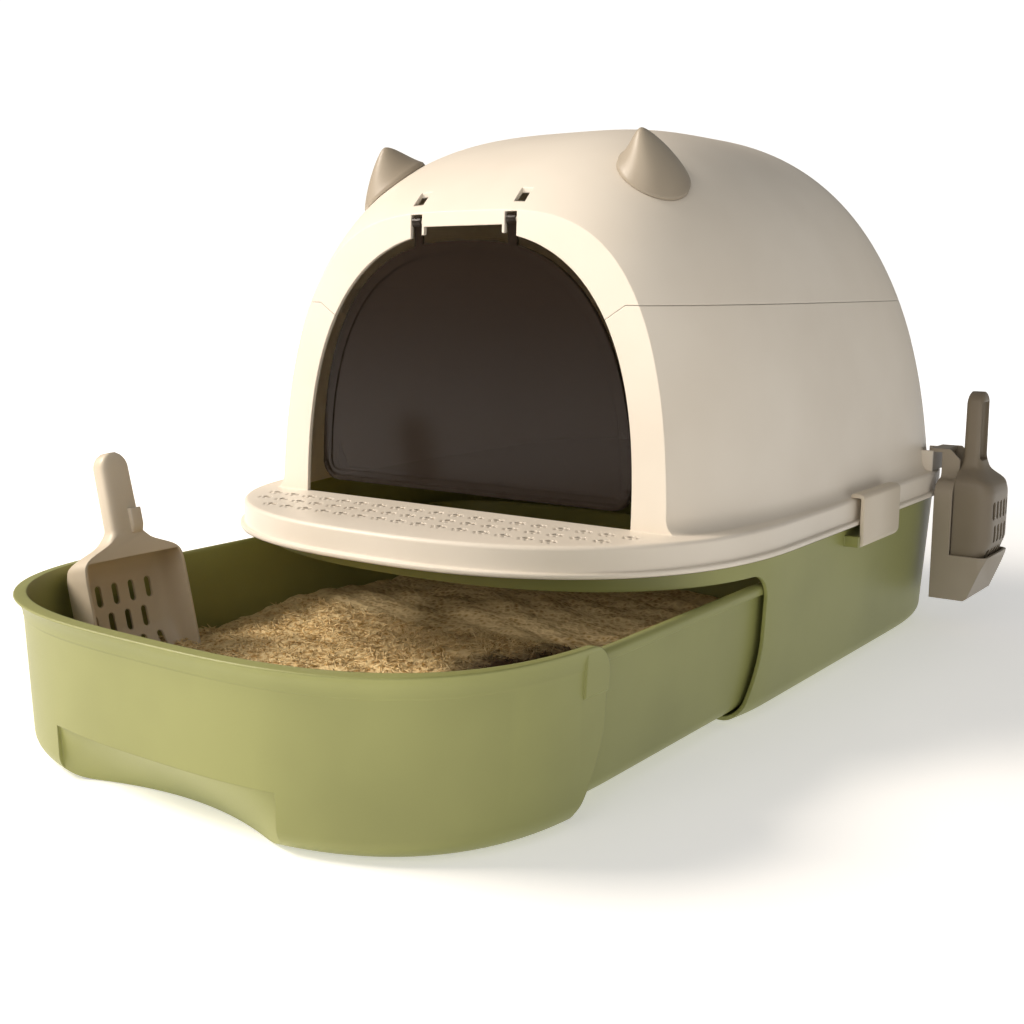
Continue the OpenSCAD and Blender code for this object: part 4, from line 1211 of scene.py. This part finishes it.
@dataclass
class Scoop:
    """Sifting scoop that stands on its lip, with a slotted back and a hollow handle.

    X runs across the bowl, Y from its open side to its slotted back, Z up from its lip.
    """

    shell: bpy.types.Material
    name: str
    w: float
    pose: Matrix
    lug: bool = False
    length: float = 100.0
    depth: float = 31.0
    lip: float = 12.0
    bend: float = 48.0
    wall: float = 2.0
    neck: float = 16.0
    grip_len: float = 55.0
    grip_w: float = 24.0
    grip_t: float = 15.0
    grip_wall: float = 2.4
    slot_w: float = 5.0
    slot_l: float = 15.0
    slot_row: float = 20.0

    def body(self, name: str, d: float) -> bpy.types.Object:
        """Bowl, shoulder and handle as one solid, drawn in by d; only the bowl if d > 0.

        Half-width, middle and half-depth are piecewise linear in Z, evened out over 5 mm, and
        each ring is a superellipse |x/a|^n + |y/b|^n = 1.
        """
        half, grip, top = self.w / 2, self.grip_t / 2, self.length + self.neck
        knots = np.array([
            [-3, half, 0, self.lip - 1, 6], [self.bend, half, 0, self.depth, 6],
            [0.88 * self.length, half, 0, self.depth, 6],
            [0.97 * self.length, 0.97 * half, 0, self.depth - 2.4, 6],
            [self.length + 0.2, 0.9 * half, 0.5, self.depth - 7, 5],
            [self.length + 3.5, 0.76 * half, 2, self.depth - 12, 4],
            [self.length + 0.42 * self.neck, 0.5 * half, grip, grip + 3, 4],
            [top, self.grip_w / 2, grip, grip, 4],
            [top + self.grip_len, self.grip_w / 2 - 0.8, grip, grip, 4]])
        end = self.length - self.wall if d > 0 else top + self.grip_len
        z = np.linspace(-3.0 if d > 0 else 0.0, end, 90)
        reach = np.linspace(-2.5, 2.5, 9)
        a, c, b, n = (np.mean([np.interp(z + o, knots[:, 0], knots[:, i]) for o in reach], axis=0)
                      for i in range(1, 5))
        if d <= 0:
            a = a * self.tip(z, end)
            b = b * (0.55 + 0.45 * self.tip(z, end))
        t = np.linspace(0, 2 * math.pi, 96, endpoint=False)
        x = (a - d)[:, None] * signed_power(np.cos(t)[None, :], n[:, None])
        y = c[:, None] + (b - d)[:, None] * signed_power(np.sin(t)[None, :], n[:, None])
        return loft(name, np.stack([x, y, np.broadcast_to(z[:, None], x.shape)], axis=2))

    def tip(self, z: np.ndarray, end: float) -> np.ndarray:
        """Share of the width near the handle's end: a quarter circle of 11 mm, never below 0.3."""
        u = np.clip((z - (end - 11.0)) / 11.0, 0, 1)
        return np.maximum(np.sqrt(1 - 0.91 * u**2), 0.3)

    def cut_slots(self, scoop: bpy.types.Object) -> None:
        """Cuts four rows of slots with round ends through the back, four and five in turn."""
        a = np.linspace(0, math.pi, 9)
        r = self.slot_w / 2
        cap = np.stack([r * np.cos(a), r * np.sin(a) + self.slot_l / 2 - r], axis=1)
        shape = np.concatenate([cap, -cap])
        for row in range(4):
            count = 4 + row % 2
            for i in range(count):
                at = ((i - (count - 1) / 2) * (self.w - 14) / 5, 14 + self.slot_row * row)
                combine(scoop, prism("slot", shape + at, "y", 14, 42), Op.CUT)

    def build(self) -> bpy.types.Object:
        """Makes the body, hollows bowl and handle, opens the front and cuts the slots."""
        half, top, grip = self.w / 2, self.length + self.neck, self.grip_t / 2
        scoop = self.body(self.name + "_shell", 0.0)
        combine(scoop, self.body("hollow", self.wall), Op.CUT)
        combine(scoop, box("open", (-half - 1, -60, -1), (half + 1, 0, top)), Op.CUT)
        well = box("well", (-self.grip_w / 2 + self.grip_wall, grip + self.grip_wall - 1, top - 2),
                   (self.grip_w / 2 - self.grip_wall, grip + 20, top + self.grip_len - 8))
        combine(scoop, round_edges(well, 2.2, 4), Op.CUT)
        self.cut_slots(scoop)
        if self.lug:
            hook = np.array([[-3.4, top + 15], [-3.4, top + 3], [-1.2, top - 2], [1, top - 2],
                             [1, top + 15]])
            combine(scoop, round_edges(prism("lug", hook, "x", 1.5, 10.5), 0.8, 3), Op.ADD)
        placed(scoop, self.pose)
        return finish_piece(scoop, self.shell, 35, self.name, SLOTS[self.name], self.name)


@dataclass
class ScoopHolder:
    """Holder on the rim: wall round the scoop, tapered cup and a hook into the platform."""

    shell: bpy.types.Material
    x: float = 216.4
    y: float = HOLDER_Y
    z: float = 32.0
    w: float = 64.0
    wall: float = 2.0
    flange_d: float = 15.0
    flange_z: float = 132.0
    cup_h: float = 38.0
    cup_r: float = 8.0
    slope: float = 19.0 / 48.0
    cup_x: float = 28.5
    hook_w: float = 32.0
    hook_z: float = 157.0
    hook_t: float = 3.0
    hook_in: float = 10.4

    def wrap(self, name: str, d: float, x0: float, x1: float) -> bpy.types.Object:
        """Bottle-shaped wall (Y, Z) drawn in by d: shoulders of radius 12, then a neck."""
        w, n, z = self.w / 2 - d, self.hook_w / 2 - d, self.flange_z - d
        top = self.hook_z + (2.0 if d > 0 else 0.0)
        a = np.radians(np.linspace(0, 90, 8))
        r = 12.0 - d
        shoulder = np.stack([w - r + r * np.cos(a), z - r + r * np.sin(a)], axis=1)
        f = 5.0
        fillet = np.stack([n + f - f * np.sin(a), z + f - f * np.cos(a)], axis=1)
        half = np.concatenate([[[w, self.z + self.cup_r]], shoulder, fillet, [[n, top]]])
        return prism(name, np.concatenate([half, half[::-1] * (-1, 1)]), "x", x0, x1)

    def cup(self, name: str, d: float) -> bpy.types.Object:
        """Cup drawn in by d, whose front leans out as the scoop's back does."""
        x0 = self.cup_x + (self.wall - d) * math.sqrt(1 + self.slope**2)
        z0, z1 = self.z + d, self.z + self.cup_h + (1.0 if d > 0 else 0.0)
        x1 = x0 + self.slope * (z1 - self.z)
        edge = 0.2 if d > 0 else 2.0
        side = np.array([[d, z1], [d, z0], [x0 + self.slope * d - edge, z0],
                         [x0 + self.slope * (d + edge), z0 + edge], [x1, z1]])
        w = self.w / 2 - d
        r = self.cup_r - d
        a = np.radians(np.linspace(0, 90, 8))
        turn = np.stack([x1 - r + r * np.sin(a), w - r + r * np.cos(a)], axis=1)
        plan_view = np.concatenate([[[d, w]], turn, turn[::-1] * (1, -1), [[d, -w]]])
        cup = prism(name, side, "y", -w, w)
        return combine(cup, prism("plan", plan_view, "z", z0 - 1, z1 + 1), Op.KEEP)

    def build(self) -> bpy.types.Object:
        """Joins wall, cup and hook, and hollows them."""
        holder = self.wrap("scoop_holder", 0.0, 0.0, self.flange_d)
        combine(holder, self.wrap("hollow", self.wall, self.wall, self.flange_d + 1), Op.CUT)
        slant = box("slant", (-6, -self.w, -6), (6, self.w, 6))
        turned = Matrix.Rotation(math.radians(45), 4, "Y")
        place = Matrix.Translation((self.flange_d, 0, self.hook_z)) @ turned
        combine(holder, placed(slant, place), Op.CUT)
        combine(holder, self.cup("cup", 0.0), Op.ADD)
        half = self.hook_w / 2
        combine(holder, box("hook", (-self.hook_in, -half, self.hook_z - self.hook_t),
                            (self.wall + 1, half, self.hook_z)), Op.ADD)
        combine(holder, box("tongue", (-self.hook_in, -half, 137.9),
                            (self.hook_t - self.hook_in, half, self.hook_z)), Op.ADD)
        combine(holder, self.cup("hollow", self.wall), Op.CUT)
        placed(holder, Matrix.Translation((self.x, self.y, 0)))
        return finish_piece(holder, self.shell, 32, "caddy", SLOTS["scoop_caddy"], "scoop_caddy")


@dataclass
class SideClip:
    """Snap clip: barrel round its bar, plate up the rim and lip over the platform."""

    shell: bpy.types.Material
    side: int
    x: float = BAR_X
    bar_z: float = BAR_Z
    bore: float = 2.58
    wall: float = 3.0
    lip_x: float = 209.0
    lip_z: float = 138.1
    y: float = CLIP_Y
    length: float = 74.0

    def section(self) -> np.ndarray:
        """Section (X, Z): from the lip's tip down the inside, round the barrel and back up."""
        def arc(cx: float, cz: float, r: float, a0: float, a1: float) -> np.ndarray:
            """Points on an arc between two angles in degrees."""
            a = np.radians(np.linspace(a0, a1, 2 + int(abs(a1 - a0) / 8)))
            return np.stack([cx + r * np.cos(a), cz + r * np.sin(a)], axis=1)

        inner, outer = self.x + self.bore, self.x + self.bore + self.wall
        top = self.lip_z + self.wall
        return np.concatenate([
            arc(inner - 1.2, self.lip_z - 1.2, 1.2, 90, 0),
            arc(self.x, self.bar_z, self.bore, 0, -180), [[self.x - self.bore, self.bar_z + 0.6]],
            [[self.x - self.bore - self.wall, self.bar_z + 0.6]],
            arc(self.x, self.bar_z, self.bore + self.wall, -180, 0),
            arc(outer - 4.0, top - 4.0, 4.0, 0, 90),
            arc(self.lip_x + 1.5, top - 1.5, 1.5, 90, 180), [[self.lip_x, self.lip_z]]])

    def build(self) -> bpy.types.Object:
        """Carries the section along Y and rounds the plate's lower corners."""
        name = "clip_plate_right" if self.side > 0 else "clip_plate_left"
        y0, y1 = self.y - self.length / 2, self.y + self.length / 2
        clip = prism(name, self.section(), "y", y0, y1)
        a = np.radians(np.linspace(0, 90, 7))
        r, low = 8.0, self.bar_z - 6.0
        foot = np.stack([y1 - r + r * np.cos(a[::-1]), low + r - r * np.sin(a[::-1])], axis=1)
        mirror = np.stack([y0 + y1 - foot[::-1, 0], foot[::-1, 1]], axis=1)
        plate = np.concatenate([[[y1, 160.0]], foot[::-1], mirror[::-1], [[y0, 160.0]]])
        combine(clip, prism("plate", plate, "x", self.x - 20, self.x + 20), Op.KEEP)
        round_edges(clip, 0.5, 2, 50.0)
        if self.side < 0:
            placed(clip, Matrix.Scale(-1, 4, (1, 0, 0)))
        side = "right" if self.side > 0 else "left"
        node = "latch_" + side
        return finish_piece(clip, self.shell, 35, node, SLOTS[node], node)


@dataclass
class Litter:
    """Wood-fibre litter in the drawer: an uneven bed with loose shreds on it."""

    drawer: Drawer
    fibre: bpy.types.Material
    crest: float = 42.0
    dip: float = 8.0
    pitch: float = 148.0
    gap: float = 0.6
    step: float = 2.5
    shred_count: int = 12000

    def height(self, x: np.ndarray, y: np.ndarray) -> np.ndarray:
        """Height of the bed: two crossed swells, raked ridges and small heaps.

        crest - dip / 4 (2 - sin - sin) for the swells, plus sines of x and y at wavelengths
        from 34 to 12 mm with fixed phases.

        Args:
            x: X in millimetres.
            y: Y in millimetres, with the drawer as drawn.

        Returns:
            Z in millimetres.
        """
        turn = 2 * math.pi / self.pitch
        shut = y + self.drawer.pull
        swell = (2 - np.sin(turn * (0.8 * x + 0.6 * shut))
                 - np.sin(turn * (0.5 * x - 0.86 * shut) + math.radians(70)))
        z = self.crest - self.dip / 4 * swell
        rake = 0.35 * x + 0.94 * y + 5 * np.sin(x / 37) + 3 * np.sin(y / 23)
        z = z + 0.9 * np.sin(2 * math.pi * rake / 31)
        rng = np.random.default_rng(7)
        for wave, amp in ((34, 0.6), (22, 0.55), (12, 0.45)):
            for _ in range(3):
                way, phase = rng.uniform(0, 2 * math.pi, 2)
                along = x * math.cos(way) + y * math.sin(way)
                z = z + 0.6 * amp * np.sin(2 * math.pi * along / wave + phase)
        return z

    def bed(self) -> bpy.types.Object:
        """Grid over the drawer, closed below and kept to the drawer's inside."""
        x = np.arange(-205, 205.1, self.step)
        y = np.arange(-470, 85.1, self.step)
        gx, gy = np.meshgrid(x, y)
        top = np.stack([gx, gy, self.height(gx, gy)], axis=2).reshape(-1, 3)
        low = np.stack([gx, gy, np.zeros_like(gx)], axis=2).reshape(-1, 3)
        rows, cols = gx.shape
        i = (np.arange(rows - 1)[:, None] * cols + np.arange(cols - 1)[None, :]).ravel()
        n = rows * cols
        up = np.stack([i, i + 1, i + cols + 1, i + cols], axis=1)
        down = up[:, ::-1] + n
        edge = np.concatenate([np.arange(cols - 1), np.arange(1, rows) * cols - 1,
                               (rows - 1) * cols + np.arange(cols - 1, 0, -1),
                               np.arange(rows - 1, 0, -1) * cols])
        nxt = np.roll(edge, -1)
        sides = np.stack([edge, edge + n, nxt + n, nxt], axis=1)
        bed = make_mesh("litter_surface", np.concatenate([top, low]),
                        up.tolist() + down.tolist() + sides.tolist())
        space = loft("space", self.drawer.inside(self.gap, 80))
        combine(space, self.drawer.hollow("space", self.drawer.wall + self.gap), Op.ADD)
        combine(space, self.drawer.grip("recess", self.drawer.wall + self.gap), Op.CUT)
        placed(space, Matrix.Translation((0, -self.drawer.pull, 0)))
        return combine(bed, space, Op.KEEP)

    def shreds(self) -> bpy.types.Object:
        """Loose shreds: flat four-sided splinters, 4 to 11 mm long, lying at random."""
        rng = np.random.default_rng(11)
        n = self.shred_count
        x = rng.uniform(-186, 186, n)
        y = rng.uniform(-452, -150, n)
        limit = 190 * np.clip(1 - (np.clip(-284 - y, 0, None) / 172) ** 3, 0, 1) ** (1 / 3)
        grip = (np.abs(x) < 96) & (y < -425 - 24 * (x / 92) ** 2 + 6)
        keep = (np.abs(x) < limit - 6) & ~grip
        x, y = x[keep], y[keep]
        n = len(x)
        length = rng.uniform(4, 11, n) / 2
        width = rng.uniform(0.8, 1.9, n) / 2
        turn = rng.uniform(0, 2 * math.pi, n)
        tilt = rng.normal(0, 0.35, n)
        lift = rng.uniform(0.1, 2.2, n)
        flat = np.cos(tilt)
        u = np.stack([np.cos(turn) * flat, np.sin(turn) * flat, np.sin(tilt)], axis=1)
        v = np.stack([-np.sin(turn), np.cos(turn), np.zeros(n)], axis=1)
        w = np.cross(u, v)
        c = np.stack([x, y, self.height(x, y) + lift], axis=1)
        tip = u * length[:, None]
        side = v * width[:, None]
        thick = w * 0.5
        points = np.stack([c - tip, c + side + 0.2 * tip, c + tip, c - side - 0.1 * tip,
                           c + thick, c - thick], axis=1).reshape(-1, 3)
        o = (np.arange(n) * 6)[:, None, None]
        tri = np.array([[0, 3, 4], [3, 2, 4], [2, 1, 4], [1, 0, 4],
                        [3, 0, 5], [2, 3, 5], [1, 2, 5], [0, 1, 5]])[None]
        return make_mesh("litter_shreds", points, (o + tri).reshape(-1, 3).tolist())

    def build(self) -> None:
        """Makes the bed and the shreds."""
        finish_piece(self.bed(), self.fibre, 60, "drawer", "litter", "litter_bed")
        hand_over(dress(self.shreds(), self.fibre), "drawer", "litter")


@dataclass
class Studio:
    """Camera at the photograph's angle, pale floor and soft lights."""

    eye: tuple[float, float, float] = (0.57315, -0.90929, 0.29419)
    turn: tuple[float, float, float] = (80.212, 0.0, 35.941)
    lens: float = 46.51

    def camera(self) -> None:
        """Places the camera."""
        data = bpy.data.cameras.new("photo_camera")
        data.lens = self.lens
        data.sensor_width = 36.0
        cam = bpy.data.objects.new("photo_camera", data)
        cam.location = self.eye
        cam.rotation_euler = [math.radians(a) for a in self.turn]
        bpy.context.scene.collection.objects.link(cam)
        bpy.context.scene.camera = cam

    def floor(self) -> None:
        """Lays a pale floor."""
        mat = bpy.data.materials.new("matt_paper")
        mat.use_nodes = True
        shader = mat.node_tree.nodes["Principled BSDF"]
        shader.inputs["Base Color"].default_value = linear("#FBFAF8")
        shader.inputs["Roughness"].default_value = 0.9
        shader.inputs["Emission Color"].default_value = linear("#FFFFFF")
        # Lit from behind like a sweep table: the paper runs into the white sky 2 m away.
        coord = add_node(mat.node_tree, "ShaderNodeTexCoord").outputs["Object"]
        far = add_node(mat.node_tree, "ShaderNodeVectorMath", {"operation": "LENGTH"}, inputs={
            0: coord})
        glow = add_node(mat.node_tree, "ShaderNodeMapRange", inputs={
            "Value": far.outputs["Value"], "From Min": 0.55, "From Max": 2.0,
            "To Min": 0.38, "To Max": 1.0})
        mat.node_tree.links.new(glow.outputs["Result"], shader.inputs["Emission Strength"])
        plane = make_mesh("floor", np.array([[-6000, -6000, 0], [6000, -6000, 0],
                                             [6000, 6000, 0], [-6000, 6000, 0]]), [[0, 1, 2, 3]])
        dress(plane, mat)

    def light(self, name: str, place: Sequence[float], aim: Sequence[float], size: float,
              watts: float, colour: str) -> None:
        """Hangs one soft panel.

        Args:
            name: Name of the light.
            place: Where it hangs, in metres.
            aim: What it points at.
            size: Side of the panel in metres.
            watts: Power.
            colour: Its colour.
        """
        data = bpy.data.lights.new(name, "AREA")
        data.energy = watts
        data.shape = "SQUARE"
        data.size = size
        data.color = linear(colour)[:3]
        lamp = bpy.data.objects.new(name, data)
        lamp.location = place
        lamp.rotation_euler = (Vector(aim) - Vector(place)).to_track_quat("-Z", "Y").to_euler()
        bpy.context.scene.collection.objects.link(lamp)

    def build(self) -> None:
        """Sets up camera, floor, lights and the sky."""
        self.camera()
        self.floor()
        self.light("key_panel", (-1.7, -1.3, 1.75), (0, -0.1, 0.15), 1.0, 72.0, "#FFF3E6")
        self.light("fill_panel", (0.3, -2.8, 1.3), (0, 0, 0.2), 2.0, 17.0, "#FFF8F0")
        world = bpy.data.worlds.new("studio")
        bpy.context.scene.world = world
        world.use_nodes = True
        tree = world.node_tree
        back = tree.nodes["Background"]
        back.inputs["Color"].default_value = linear("#FFFDFA")
        # The sky looks white behind the piece and lights it only softly.
        seen = add_node(tree, "ShaderNodeLightPath").outputs["Is Camera Ray"]
        share = add_node(tree, "ShaderNodeMapRange", inputs={
            "Value": seen, "To Min": 0.24, "To Max": 1.1})
        tree.links.new(share.outputs["Result"], back.inputs["Strength"])
        view = bpy.context.scene.view_settings
        view.view_transform = "Standard"
        view.look = "None"


def main() -> None:
    """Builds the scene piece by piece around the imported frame."""
    logging.basicConfig(level=logging.INFO, format="%(message)s")
    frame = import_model()
    Studio().build()
    green = MouldedPolypropylene("moulded_polypropylene_olive", "#9A9C5E", "#8F9156").build()
    cream = MouldedPolypropylene("moulded_polypropylene_cream", "#F0E7D8", "#E9DFCF").build()
    taupe = MouldedPolypropylene("moulded_polypropylene_taupe", "#A79C8A", "#9D917F").build()
    umber = MouldedPolypropylene("moulded_polypropylene_umber", "#8A7E6B", "#7E7260").build()
    pale = MouldedPolypropylene("moulded_polypropylene_beige", "#DCD0BC", "#D3C6B0").build()
    rubber = MouldedPolypropylene("moulded_rubber_black", "#2B2B28", "#222220", 0.7).build()
    smoke = SmokeAcrylic("moulded_acrylic_smoke", "#261C14").build()
    # The last colour is painted shade for the litter under the platform's edge.
    fibre = PineLitter("pine_fibre_litter", "#EAD3A0", "#BE9A5E", "#4A3420").build()
    for name in ("front_left", "front_right", "rear_left", "rear_right"):
        dress(frame["nodes"]["foot_pad_" + name], rubber)
    turn = math.radians(90)
    Scoop(umber, "hanging_scoop", 58.0, Matrix.Translation((231.7, HOLDER_Y, 34.3))
          @ Matrix.Rotation(-turn, 4, "Z")).build()
    # The scoop in the drawer leans back by 13 degrees.
    Scoop(pale, "drawer_scoop", 84.0, Matrix.Translation((-141.97, -337, 13.5))
          @ Matrix.Rotation(math.radians(-13), 4, "Y") @ Matrix.Rotation(turn, 4, "Z"),
          True).build()
    ScoopHolder(taupe).build()
    SideClip(pale, 1).build()
    SideClip(pale, -1).build()
    Housing(green).build()
    LidBase(cream).build()
    UpperHood(cream).build()
    DoorFlap(smoke).build()
    Horn(taupe, 1).build()
    Horn(taupe, -1).build()
    drawer = Drawer(green)
    drawer.build()
    Litter(drawer, fibre).build()


if __name__ == "__main__":
    main()
